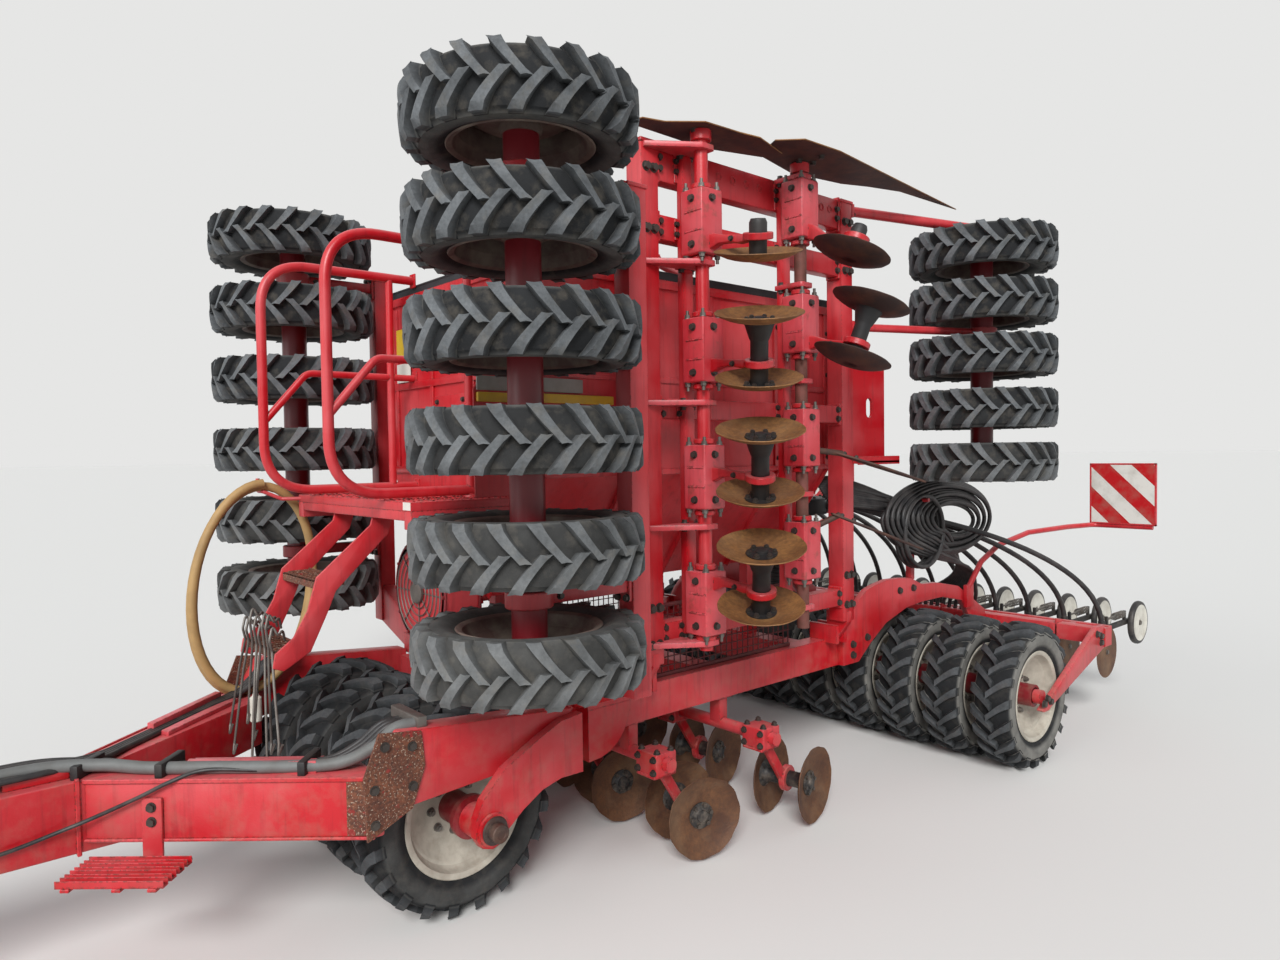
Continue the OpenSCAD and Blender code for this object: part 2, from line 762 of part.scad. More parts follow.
module hopper_lid() {
    color(black) at_axle()
        difference() {
            union() {
                box_between([-hopper_rear - 10, -hopper_half - 5, hopper_top + seat_gap],
                    [-hopper_front - 5, hopper_half + 5, hopper_top + seat_gap + lid_t]);
                for (x = hinge_places) {
                    translate([-x, hinge_y, hinge_z]) along_x(-barrel_half, barrel_half, barrel_r, 24);
                    box_between([-x - barrel_half, hinge_y, hinge_z - 6],
                        [-x + barrel_half, -hopper_half + 5, hinge_z + 6]);
                }
            }
            for (x = hinge_places)
                translate([-x, hinge_y, hinge_z])
                    along_x(-barrel_half - 5, barrel_half + 5, hinge_pin_r + pin_play, 24);
        }
}

// Platform, ladder and handrails
deck_t = 40;
deck_half = 587;
deck_front = 180;

module platform() {
    color(paint) at_axle() {
        box_between([-hopper_front, -deck_half, deck_z - deck_t], [deck_front, deck_half, deck_z]);
        both_sides()
            box_between([-hopper_front, deck_half - 60, deck_z - deck_t - 70],
                [deck_front, deck_half, deck_z - deck_t]);
    }
}

module ladder() {
    color(paint) at_axle() translate([deck_front, 0, 0]) {
        both_sides()
            side_plate([
                [-30, deck_z - deck_t], [-120, deck_z - deck_t], [-85, 1475], [140, 1262], [182, 1165],
                [245, 1035], [350, 975], [390, 990], [380, 1045], [310, 1098], [254, 1195], [216, 1322], [-10, 1515]
            ], 190, 205);
        box_between([100, -195, 1300], [215, 195, 1320]);
        box_between([255, -195, 1040], [370, 195, 1058]);
    }
}

rail_bend = 220;
rail_into = 5;
mid_rail_r = 16;
mid_rail_z = 2180;

module rail_bend_at(z, from) {
    translate([rail_front - rail_bend, 0, z]) rotate([90, 0, 0])
        rotate_extrude(angle = from, $fn = 48)
            translate([rail_bend, 0]) circle(r = rail_r + 0.6, $fn = 20);
}

module rail_loop() {
    for (z = [rail_low, rail_top])
        translate([0, 0, z]) along_x(-hopper_front, rail_front - rail_bend + rail_into, rail_r, 20);
    translate([rail_front, 0, rail_low + rail_bend - rail_into])
        cylinder(h = rail_top - rail_low - 2 * rail_bend + 2 * rail_into, r = rail_r, $fn = 20);
    rail_bend_at(rail_top - rail_bend, 90);
    rail_bend_at(rail_low + rail_bend, -90);
}

module handrails() {
    color(paint) at_axle()
        for (s = [-1, 1])
            translate([0, s * rail_y, 0]) {
                rail_loop();
                translate([-200, 0, deck_z]) cylinder(h = rail_top - deck_z, r = rail_r - 3, $fn = 20);
                translate([0, 0, mid_rail_z]) along_x(-hopper_front, rail_front - 200, mid_rail_r, 16);
                translate([rail_front - 200, 0, mid_rail_z]) sphere(r = mid_rail_r + 2, $fn = 24);
                rod([rail_front, 0, mid_rail_z - 220], [rail_front - 200, 0, mid_rail_z], mid_rail_r);
            }
}

module mesh_guards() {
    color(deep_paint) at_axle()
        both_sides() {
            for (z = [beam_z + beam_h + 20, 1080])
                box_between([-1960, beam_y - 8, z], [-900, beam_y + 8, z + 16]);
            for (i = [0 : 26])
                box_between([-1960 + i * 40, beam_y - 3, beam_z + beam_h], [-1954 + i * 40, beam_y + 3, 1090]);
        }
}

module fan() {
    color(paint) at_axle() {
        translate([-200, 0, 1180]) along_x(-120, 60, 230, 48);
        box_between([-330, -90, 1180], [-330 + 5, 90, 1400]);
        box_between([-330, -60, 1000], [-250, 60, 1180]);
    }
}

// Centre disc section under the chassis: bars, brackets, housings and arms that trail to the discs
centre_bar_back = [840, 1430];
centre_bar_z = beam_z - 140;
centre_trail = 190;
centre_clamp_half = 68;
centre_clamps = [[-810, -270, 270, 810], [-900, -300, 300, 900]];

// Steering angles of the centre discs in the front and the rear row, on the left side
centre_steer = [-15, 12];

module steered(k, y) {
    translate([-centre_bar_back[k] - centre_trail, y, centre_disc_z])
        rotate([0, 0, y > 0 ? centre_steer[k] : -centre_steer[k]]) children();
}

module centre_disc_bars() {
    color(paint) at_axle()
        for (k = [0, 1]) {
            b = centre_bar_back[k];
            last = centre_clamps[k][3] + 100;
            translate([-b, 0, centre_bar_z]) along_y(-last, last, bar_r, 24);
            both_sides()
                box_between([-b - 28, beam_y - 50, centre_bar_z], [-b + 28, beam_y + 20, beam_z]);
            for (y = centre_clamps[k]) {
                box_between([-b - 60, y - centre_clamp_half, centre_bar_z - 52],
                    [-b + 60, y + centre_clamp_half, centre_bar_z + 50]);
                difference() {
                    union() {
                        side_plate([[-b, centre_bar_z - 45], [-b, centre_bar_z + 40],
                            [-b - centre_trail + 40, centre_disc_z + 60], [-b - centre_trail - 30, centre_disc_z + 30],
                            [-b - centre_trail - 30, centre_disc_z - 30], [-b - centre_trail + 40, centre_disc_z - 20]],
                            y - 16, y + 16);
                        steered(k, y) along_y(-16, 16, ring_r, 32);
                    }
                    steered(k, y) along_y(-60, 60, hub_r + seat_gap, 32);
                }
            }
        }
}

// Each centre arm carries a disc on both sides, a hub between them
module centre_discs() {
    color(rusty) at_axle()
        for (k = [0, 1])
            for (y = centre_clamps[k])
                steered(k, y) rotate([-90, 0, 0]) {
                        translate([0, 0, -125]) cylinder(h = 240, r = hub_r, $fn = 32);
                        translate([0, 0, -125]) dished_disc();
                        translate([0, 0, 110]) dished_disc();
                        translate([0, 0, 115]) cylinder(h = 15, r = 26, $fn = 24);
                    }
}

// Rear arms over and beside the rear centre packer
side_arm_y = 1420;
arm_in = beam_y + beam_w / 2;
arm_thick = 40;
coil_back = rear_back - 100;
coil_peg_z = 1490;
coil_peg_r = 12;

module rear_arms() {
    color(paint) at_axle()
        both_sides() {
            side_plate([
                [-chassis_rear + 90, beam_z], [-chassis_rear + 90, beam_z + beam_h], [-rear_back + 740, 870],
                [-rear_back + 650, 954], [-rear_back + 510, 1010], [-rear_back + 380, 1028],
                [-rear_back + 120, 1012], [-rear_back - 10, 960], [-rear_back - 190, 950],
                [-rear_back - 450, 900], [-bar_rear + 40, 700], [-bar_rear + 40, 560],
                [-rear_back - 700, 560], [-rear_back - 490, 800], [-rear_back - 250, 850],
                [-rear_back - 10, 850], [-rear_back + 170, 835], [-rear_back + 390, 773],
                [-rear_back + 550, 680], [-rear_back + 670, beam_z]
            ], arm_in, arm_in + arm_thick);
            // Post and peg that the hose coil hangs on
            box_between([-coil_back - 20, arm_in, 1000], [-coil_back + 20, arm_in + arm_thick, coil_peg_z + 20]);
            translate([-coil_back, 0, coil_peg_z]) along_y(arm_in + arm_thick - 5, arm_in + arm_thick + 110, coil_peg_r, 24);
            side_plate([
                [-rear_back + 60, tyre_r - 60], [-rear_back - 60, tyre_r - 60],
                [-bar_rear + 40, 560], [-bar_rear + 40, 700], [-rear_back - 700, 700]
            ], side_arm_y + 40, side_arm_y + 75);
            translate([-rear_back, 0, tyre_r])
                along_y(rear_tyre_half - tyre_w * 0.2 + seat_gap, side_arm_y + 50, 40);
        }
}

bar_rear = 4000;

module coulter_bar() {
    color(paint) at_axle() {
        box_between([-bar_rear - 50, -side_arm_y - 75, 570], [-bar_rear + 40, side_arm_y + 75, 670]);
        box_between([-bar_rear - 280, -side_arm_y, 600], [-bar_rear - 240, side_arm_y, 640]);
        for (y = [-1200, -400, 400, 1200])
            box_between([-bar_rear - 250, y - 20, 600], [-bar_rear - 40, y + 20, 640]);
    }
}

coulter_count = 12;
coulter_pitch = 240;

module coulter_at(i) {
    translate([-bar_rear - 260, (i - (coulter_count - 1) / 2) * coulter_pitch, 0]) children();
}

module coulters() {
    color(black) at_axle()
        for (i = [0 : coulter_count - 1])
            coulter_at(i) {
                box_between([-260, -12, 480], [0, 12, 600]);
                translate([-160, 12, 430]) along_y(0, 6, 170, 40);
                box_between([-700, -12, 560], [-240, 12, 600]);
            }
}

module press_wheels() {
    color("gainsboro") at_axle()
        for (i = [0 : coulter_count - 1])
            coulter_at(i)
                translate([-670, 12 + seat_gap, 560]) along_y(0, 40, 150, 40);
}

board = 423;
board_low = 1248;
board_y = 1030;

// Bent tube from the rear arm's outer face out to the board's lower edge
board_tube_r = 18;
board_route = [
    [-3700, 745, 880], [-3830, 765, 1040], [-4000, 800, 1140], [-4300, 870, 1210], [-4700, 970, 1228],
    [-4972, 1040, 1230], [-4972, board_y + board - 20, 1230]
];

module board_arms() {
    last = len(board_route) - 1;
    color(paint) at_axle()
        both_sides() {
            for (i = [0 : last - 1])
                rod(board_route[i], board_route[i + 1], board_tube_r, 20);
            for (i = [1 : last])
                translate(board_route[i]) sphere(r = board_tube_r + 0.8, $fn = 24);
            box_between([-3745, arm_in + arm_thick, 750], [-3655, arm_in + arm_thick + 30, 900]);
            box_between([-4960 - 2, board_y + 60, 1225], [-4960, board_y + board - 60, 1420]);
            for (y = [board_y + 110, board_y + board - 140])
                box_between([-4975, y, 1225], [-4960, y + 30, 1420]);
        }
}

module warning_boards() {
    color("white") at_axle()
        both_sides()
            box_between([-4960, board_y, board_low], [-4952, board_y + board, board_low + board]);
}

// Distributor head on its riser pipe behind the hopper
head_back = hopper_rear + 310;
head_r = 300;
head_z = 1400;
head_h = 90;
riser_r = 60;
spigot_r = 24;
outlet_step = 9.4;
spigot_len = 60;
hose_r = 17;
hose_lead = 340;

// Angle of the outlet for hose i round the head
function outlet_angle(i) = 180 - (i - (coulter_count - 1) / 2) * outlet_step;

module distributor() {
    color(black) at_axle() {
        box_between([-head_back - 80, -60, beam_z + 50], [-chassis_rear + 270, 60, beam_z + 130]);
        translate([-head_back, 0, beam_z + 120]) cylinder(h = head_z - beam_z - 110, r = riser_r, $fn = 32);
        translate([-head_back, 0, head_z]) cylinder(h = head_h, r = head_r, $fn = 48);
        for (i = [0 : coulter_count - 1])
            translate([-head_back, 0, head_z + head_h / 2]) rotate([0, 0, outlet_angle(i)])
                along_x(head_r - 10, head_r + spigot_len, spigot_r, 16);
    }
}

// Hose coil: rings that hang on the peg
coil_r = 215;
coil_hose_r = 14;

module hose_coil() {
    color(black) at_axle()
        both_sides()
            for (i = [0 : 2])
                translate([-coil_back, arm_in + arm_thick + 18 + i * 30,
                    coil_peg_z + coil_peg_r + coil_hose_r + seat_gap - coil_r])
                    rotate([90, 0, 0])
                        rotate_extrude($fn = 64) translate([coil_r, 0]) circle(r = coil_hose_r, $fn = 16);
}

// Seed hoses: each follows one curve from its spigot down to its coulter
hose_rings = 14;
hose_sides = 8;

function curve_at(p, t) = pow(1 - t, 3) * p[0] + 3 * pow(1 - t, 2) * t * p[1]
    + 3 * (1 - t) * t * t * p[2] + pow(t, 3) * p[3];
function heading_at(p, t) = 3 * pow(1 - t, 2) * (p[1] - p[0]) + 6 * (1 - t) * t * (p[2] - p[1])
    + 3 * t * t * (p[3] - p[2]);
function outlet_at(i, r) = [-head_back + r * cos(outlet_angle(i)), r * sin(outlet_angle(i)), head_z + head_h / 2];
function coulter_y(i) = (i - (coulter_count - 1) / 2) * coulter_pitch;
function hose_curve(i) = [
    outlet_at(i, head_r + spigot_len + seat_gap), outlet_at(i, head_r + spigot_len + hose_lead),
    [-bar_rear - 380, coulter_y(i), 1150], [-bar_rear - 380, coulter_y(i), 600 + seat_gap]
];
function ring_at(c, h, r, sides) = let (
    d = h / norm(h), a = cross([0.13, 1, 0.07], d), u = a / norm(a), v = cross(d, u)
) [for (k = [0 : sides - 1]) c + r * (cos(k * 360 / sides) * u + sin(k * 360 / sides) * v)];

module hose_along(p) {
    points = [for (j = [0 : hose_rings - 1])
        each ring_at(curve_at(p, j / (hose_rings - 1)), heading_at(p, j / (hose_rings - 1)), hose_r, hose_sides)];
    walls = [for (j = [0 : hose_rings - 2]) for (k = [0 : hose_sides - 1])
        let (a = j * hose_sides + k, b = j * hose_sides + (k + 1) % hose_sides)
            each [[a, b, b + hose_sides], [a, b + hose_sides, a + hose_sides]]];
    first = [for (k = [hose_sides - 1 : -1 : 0]) k];
    last = [for (k = [0 : hose_sides - 1]) (hose_rings - 1) * hose_sides + k];
    polyhedron(points = points, faces = concat(walls, [first], [last]));
}

module seed_hoses() {
    color(black) at_axle()
        for (i = [0 : coulter_count - 1])
            hose_along(hose_curve(i));
}

chassis();
drawbar_nose();
both_sides() drawbar_side();  // drawbar_beams
hitch_eye();
jack_sleeve();
jack_leg();
drawbar_step();
front_arms();
hopper();
hopper_lid();
platform();
ladder();
handrails();
mesh_guards();
fan();
centre_disc_bars();
centre_discs();
rear_arms();
coulter_bar();
coulters();
press_wheels();
board_arms();
warning_boards();
distributor();
hose_coil();
seed_hoses();
front_centre_tyres();
front_centre_axle();
rear_centre_tyres_row();  // rear_centre_tyres
rear_centre_axle();
front_wing_frame();  // front_left_frame
front_wing_tyres_row();  // front_left_tyres
front_wing_axle();  // front_left_axle
mirror([0, 1, 0]) front_wing_frame();  // front_right_frame
mirror([0, 1, 0]) front_wing_tyres_row();  // front_right_tyres
mirror([0, 1, 0]) front_wing_axle();  // front_right_axle
wing_posts();  // left_wing_posts
wing_beams();  // left_wing_beams
wing_rails();  // left_wing_rails
packer_arms();  // left_packer_arms
disc_bars();  // left_disc_bars
discs();  // left_discs
deflectors();  // left_deflectors
mirror([0, 1, 0]) wing_posts();  // right_wing_posts
mirror([0, 1, 0]) wing_beams();  // right_wing_beams
mirror([0, 1, 0]) wing_rails();  // right_wing_rails
mirror([0, 1, 0]) packer_arms();  // right_packer_arms
mirror([0, 1, 0]) disc_bars();  // right_disc_bars
mirror([0, 1, 0]) discs();  // right_discs
mirror([0, 1, 0]) deflectors();  // right_deflectors
rear_wing_tyres_row();  // rear_left_tyres
rear_wing_axle();  // rear_left_axle
mirror([0, 1, 0]) rear_wing_tyres_row();  // rear_right_tyres
mirror([0, 1, 0]) rear_wing_axle();  // rear_right_axle
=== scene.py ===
"""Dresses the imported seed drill: finishes, lugged tyres, hoses and the small fittings that it carries."""

import json
import math

import bmesh
import bpy
from mathutils import Matrix, Vector


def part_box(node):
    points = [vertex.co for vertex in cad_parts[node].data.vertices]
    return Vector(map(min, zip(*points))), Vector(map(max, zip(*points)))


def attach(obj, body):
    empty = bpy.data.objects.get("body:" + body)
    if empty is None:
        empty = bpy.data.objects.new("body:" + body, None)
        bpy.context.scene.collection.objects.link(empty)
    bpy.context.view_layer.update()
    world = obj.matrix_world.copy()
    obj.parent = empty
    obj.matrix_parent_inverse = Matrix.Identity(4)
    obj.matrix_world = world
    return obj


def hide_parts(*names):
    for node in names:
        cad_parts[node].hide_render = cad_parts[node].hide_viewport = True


bl_info = {
    "name": "Folded Seed Drill",
    "version": (1, 0, 0),
    "blender": (4, 5, 0),
    "location": "View3D > Sidebar > Seed Drill",
    "description": "Builds the finishes and fittings of a folded trailed seed drill round its packed frame",
    "category": "Object",
}

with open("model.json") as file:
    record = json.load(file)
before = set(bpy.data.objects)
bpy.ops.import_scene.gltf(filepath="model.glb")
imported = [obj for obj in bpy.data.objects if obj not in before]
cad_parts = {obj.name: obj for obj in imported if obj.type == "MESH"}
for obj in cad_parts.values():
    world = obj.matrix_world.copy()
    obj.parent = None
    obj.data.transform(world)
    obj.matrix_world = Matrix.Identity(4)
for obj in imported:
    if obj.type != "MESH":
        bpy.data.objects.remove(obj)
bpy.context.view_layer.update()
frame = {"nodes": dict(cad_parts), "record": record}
FRONT_AXLE = 1.220  # metres that the front axle stands ahead of the middle of the length

# Lines and pitches of the machine in mm: ahead of the front axle, to the side or up
AXLE_Z = 404
REAR_AXLE = -3150
FRONT_BAR, REAR_BAR = 1040, 1720  # how far a wing's round disc bars stand behind the axle
BAR_SIDE = 930
DISC_SIDE = 1250
HOUSING_PITCH = 550
RISER = -2660
HEAD_Z = 1445
HOPPER_SIDE = 619
HOPPER_FACE = -331
FAN_Z = 1180
HANDRAIL_SIDE = 370
COULTER_LINE = -4260
COULTER_COUNT = 12
COULTER_PITCH = 240
HOSE_ENDS = -4380

WALL_WEAR = 0.22  # value of the wear attribute that marks a tyre's walls
LUG_ROUNDING = 0.003  # bevel in metres round the face of a lug, which lifts its tips by as much


# Settings that a user would change

class TyreSettings(bpy.types.PropertyGroup):
    """Sizes of the packer tyres."""

    radius: bpy.props.FloatProperty(
        name="Radius", description="Out to the tips of the lugs",
        default=0.404, unit="LENGTH")
    width: bpy.props.FloatProperty(
        name="Width", description="Section width across the shoulders",
        default=0.215, unit="LENGTH")
    rim_radius: bpy.props.FloatProperty(
        name="Rim radius", description="Seat of the bead on the rim",
        default=0.235, unit="LENGTH")
    lug_height: bpy.props.FloatProperty(
        name="Lug height", description="Height of the lugs above the carcass",
        default=0.033, unit="LENGTH")
    lug_count: bpy.props.IntProperty(
        name="Lugs a side", description="Lugs on each half of the tread", default=20, min=8, max=40)


class PaintSettings(bpy.types.PropertyGroup):
    """Colours of the finishes, as sRGB."""

    red: bpy.props.StringProperty(
        name="Enamel", description="Sound red enamel, as a hex colour", default="#BA121E")
    faded: bpy.props.StringProperty(
        name="Faded enamel", description="Enamel that the sun has chalked", default="#D05C60")
    deep: bpy.props.StringProperty(
        name="Axle enamel", description="Darker red of the packer axles", default="#7A0E1A")
    dust: bpy.props.StringProperty(
        name="Dust", description="Dried soil on ledges and low down", default="#8F7F6C")


class StageSettings(bpy.types.PropertyGroup):
    """Camera and light."""

    lens: bpy.props.FloatProperty(
        name="Lens", description="Focal length on a 36 mm wide sensor, in mm", default=24.09)
    key_strength: bpy.props.FloatProperty(
        name="Key strength", description="Strength of the wide, soft key light", default=3.0)
    backdrop: bpy.props.StringProperty(
        name="Backdrop", description="Colour behind the machine, met by the lit floor", default="#E6E6E5")
    floor: bpy.props.StringProperty(
        name="Floor", description="Colour of the plain floor", default="#E9E8E5")


# Shader helpers

def linear(code):
    """Linear RGBA of an sRGB hex colour."""
    values = [int(code[i:i + 2], 16) / 255 for i in (1, 3, 5)]
    return [v / 12.92 if v <= 0.04045 else ((v + 0.055) / 1.055) ** 2.4 for v in values] + [1.0]


def add_node(tree, kind, sockets=None, **settings):
    """Adds a node, sets its properties, and fills or links its sockets."""
    made = tree.nodes.new(kind)
    for name, value in settings.items():
        setattr(made, name, value)
    for socket, value in (sockets or {}).items():
        if isinstance(value, bpy.types.NodeSocket):
            tree.links.new(value, made.inputs[socket])
        else:
            made.inputs[socket].default_value = value
    return made


def start_material(name, roughness, metallic=0.0):
    """A named material with its shader, and its object coordinates."""
    made = bpy.data.materials.new(name)
    made.use_nodes = True
    tree = made.node_tree
    shader = tree.nodes["Principled BSDF"]
    shader.inputs["Roughness"].default_value = roughness
    shader.inputs["Metallic"].default_value = metallic
    place = add_node(tree, "ShaderNodeTexCoord")
    return made, tree, shader, place


def speckle(tree, place, scale, low, high, detail=4.0, stretch=None):
    """Noise of a given scale per metre, cut to a mask between two levels."""
    vector = place.outputs["Object"]
    if stretch:
        vector = add_node(tree, "ShaderNodeMapping", {"Vector": vector, "Scale": stretch}).outputs[0]
    noise = add_node(tree, "ShaderNodeTexNoise",
                     {"Vector": vector, "Scale": scale, "Detail": detail, "Roughness": 0.6})
    return add_node(tree, "ShaderNodeMapRange",
                    {0: noise.outputs[0], 1: low, 2: high}).outputs[0]


def blend_colours(tree, factor, first, second):
    """Mix of two colours by a mask."""
    return add_node(tree, "ShaderNodeMix", {0: factor, 6: first, 7: second}, data_type="RGBA").outputs[2]


def calculate(tree, operation, first, second=0.0, clamp=False):
    """One step of arithmetic on masks."""
    return add_node(tree, "ShaderNodeMath", {0: first, 1: second},
                    operation=operation, use_clamp=clamp).outputs[0]


def edge_mask(tree, radius):
    """Mask that is 1 on edges, where the rounded normal leaves the flat one."""
    rounded = add_node(tree, "ShaderNodeBevel", {"Radius": radius}, samples=4)
    flat = add_node(tree, "ShaderNodeNewGeometry")
    match = add_node(tree, "ShaderNodeVectorMath",
                     {0: rounded.outputs[0], 1: flat.outputs["Normal"]}, operation="DOT_PRODUCT")
    return add_node(tree, "ShaderNodeMapRange",
                    {0: match.outputs["Value"], 1: 0.995, 2: 0.86, 3: 0.0, 4: 1.0}).outputs[0]


def facing_up(tree, place):
    """Mask of the faces that look at the sky."""
    axis = add_node(tree, "ShaderNodeSeparateXYZ", {0: place.outputs["Normal"]})
    return add_node(tree, "ShaderNodeMapRange", {0: axis.outputs[2], 1: 0.45, 2: 0.95}).outputs[0]


def lying_low(tree, place, top):
    """Mask that grows from a height down to the ground."""
    axis = add_node(tree, "ShaderNodeSeparateXYZ", {0: place.outputs["Object"]})
    return add_node(tree, "ShaderNodeMapRange", {0: axis.outputs[2], 1: top, 2: 0.1}).outputs[0]


def put_bump(tree, shader, place, scale, distance, strength=0.6, detail=3.0):
    """Fine relief, its grain given per metre and its depth in metres."""
    noise = add_node(tree, "ShaderNodeTexNoise",
                     {"Vector": place.outputs["Object"], "Scale": scale, "Detail": detail})
    bump = add_node(tree, "ShaderNodeBump",
                    {"Height": noise.outputs[0], "Distance": distance, "Strength": strength})
    tree.links.new(bump.outputs[0], shader.inputs["Normal"])


# Finishes

def enamel(name, sound, faded, dust, chipped=0.55, fading=0.75, rusting=0.0):
    """Brushed-on machine enamel: glossy where sound, chalky on top, chipped to rust on its edges."""
    made, tree, shader, place = start_material(name, 0.38)
    up = facing_up(tree, place)
    low = lying_low(tree, place, 0.95)
    cloud = speckle(tree, place, 2.2, 0.42, 0.66)
    colour = blend_colours(tree, calculate(tree, "MULTIPLY", cloud, 0.48), linear(sound), linear(faded))
    colour = blend_colours(tree, calculate(tree, "MULTIPLY", up, fading), colour, linear(faded))
    # Grime that ran down, drawn 25 mm wide
    streak = speckle(tree, place, 9.0, 0.52, 0.74, stretch=(4.0, 4.0, 0.35))
    colour = blend_colours(tree, calculate(tree, "MULTIPLY", streak, 0.35), colour, linear("#5B1418"))
    # Dried soil, thickest low down and on ledges
    soil = speckle(tree, place, 14.0, 0.46, 0.72, detail=6.0)
    wanted = calculate(tree, "ADD", calculate(tree, "MULTIPLY", low, 0.5),
                       calculate(tree, "MULTIPLY", up, 0.28))
    soil = calculate(tree, "MULTIPLY", soil, wanted, clamp=True)
    colour = blend_colours(tree, soil, colour, linear(dust))
    # Rust that has come through in patches of 30 to 80 mm
    if rusting:
        patch = calculate(tree, "MULTIPLY", speckle(tree, place, 15.0, 0.56, 0.68, detail=6.0), rusting)
        colour = blend_colours(tree, patch, colour, linear("#6E4434"))
    # Chips of 3 to 12 mm, on edges only
    chips = speckle(tree, place, 75.0, 0.5, 0.56, detail=3.0)
    chips = calculate(tree, "MULTIPLY", chips, edge_mask(tree, 0.009))
    chips = calculate(tree, "MULTIPLY", chips, chipped * 1.6, clamp=True)
    colour = blend_colours(tree, chips, colour, linear("#4B2E24"))
    tree.links.new(colour, shader.inputs["Base Color"])
    rough = calculate(tree, "ADD", calculate(tree, "MULTIPLY", soil, 0.4),
                      calculate(tree, "MULTIPLY", cloud, 0.12))
    rough = calculate(tree, "ADD", rough, 0.36, clamp=True)
    tree.links.new(rough, shader.inputs["Roughness"])
    shader.inputs["Coat Weight"].default_value = 0.12
    shader.inputs["Coat Roughness"].default_value = 0.3
    put_bump(tree, shader, place, 160.0, 0.0015, 0.35)
    return made


def tyre_rubber(name, wall_dust, low_dust, scuffing=1.0):
    """Vulcanised rubber: dull and black in its grooves, scuffed grey on the lugs, dusted on the walls."""
    made, tree, shader, place = start_material(name, 0.82)
    wear = add_node(tree, "ShaderNodeAttribute", attribute_name="wear").outputs["Fac"]
    cloud = speckle(tree, place, 9.0, 0.35, 0.7, detail=6.0)
    fine = speckle(tree, place, 90.0, 0.3, 0.75, detail=4.0)
    mottle = calculate(tree, "MULTIPLY", cloud, 0.5)
    grain = calculate(tree, "ADD", calculate(tree, "MULTIPLY", fine, 0.4), 0.7)
    scuff = calculate(tree, "MULTIPLY", wear, calculate(tree, "ADD", mottle, 0.45))
    scuff = calculate(tree, "MULTIPLY", scuff, grain, clamp=True)
    colour = blend_colours(tree, mottle, linear("#101113"), linear("#222426"))
    colour = blend_colours(tree, calculate(tree, "MULTIPLY", scuff, scuffing), colour, linear("#73777A"))
    soil = calculate(tree, "MULTIPLY", speckle(tree, place, 16.0, 0.5, 0.75, detail=6.0), 0.4 * scuffing)
    colour = blend_colours(tree, soil, colour, linear("#6E675C"))
    # Pale dust: on the walls, and on the lower tyres of a stack
    wall = calculate(tree, "ABSOLUTE", calculate(tree, "SUBTRACT", wear, WALL_WEAR))
    wall = add_node(tree, "ShaderNodeMapRange", {0: wall, 1: 0.02, 2: 0.12, 3: 1.0, 4: 0.0}).outputs[0]
    wall = calculate(tree, "MULTIPLY", wall, wall_dust)
    low = calculate(tree, "MULTIPLY", lying_low(tree, place, 2.1), low_dust)
    dust = calculate(tree, "MULTIPLY", calculate(tree, "MAXIMUM", wall, low),
                     calculate(tree, "ADD", mottle, 0.5), clamp=True)
    colour = blend_colours(tree, dust, colour, linear("#8C8A84"))
    tree.links.new(colour, shader.inputs["Base Color"])
    shader.inputs["Specular IOR Level"].default_value = 0.35
    put_bump(tree, shader, place, 220.0, 0.002, 0.5, 5.0)
    return made


def soil_worn_steel(name, dark, pale):
    """Tillage steel: brown rust with a scoured, paler bloom where soil has rubbed it."""
    made, tree, shader, place = start_material(name, 0.62, 0.25)
    cloud = speckle(tree, place, 7.0, 0.35, 0.68, detail=7.0)
    fine = speckle(tree, place, 60.0, 0.35, 0.7, detail=5.0)
    colour = blend_colours(tree, cloud, linear(dark), linear(pale))
    colour = blend_colours(tree, calculate(tree, "MULTIPLY", fine, 0.5), colour, linear("#3E2C24"))
    bloom = calculate(tree, "MULTIPLY", speckle(tree, place, 4.0, 0.5, 0.7), 0.4)
    colour = blend_colours(tree, bloom, colour, linear("#8C7258"))
    tree.links.new(colour, shader.inputs["Base Color"])
    put_bump(tree, shader, place, 120.0, 0.003, 0.5, 6.0)
    return made


def scaled_rust():
    """Scaled rust over the last of the paint: brown with pale flecks and pits."""
    made, tree, shader, place = start_material("scaled_rust_flaking", 0.85)
    cloud = speckle(tree, place, 10.0, 0.38, 0.66, detail=6.0)
    fine = speckle(tree, place, 85.0, 0.42, 0.62, detail=5.0)
    colour = blend_colours(tree, cloud, linear("#5E3526"), linear("#7C4A33"))
    colour = blend_colours(tree, calculate(tree, "MULTIPLY", fine, 0.7), colour, linear("#3A2620"))
    flecks = speckle(tree, place, 140.0, 0.60, 0.66, detail=2.0)
    colour = blend_colours(tree, flecks, colour, linear("#A5907E"))
    left_over = calculate(tree, "MULTIPLY", speckle(tree, place, 26.0, 0.60, 0.66), 0.7)
    colour = blend_colours(tree, left_over, colour, linear("#8E1A1E"))
    tree.links.new(colour, shader.inputs["Base Color"])
    put_bump(tree, shader, place, 90.0, 0.006, 0.8, 6.0)
    return made


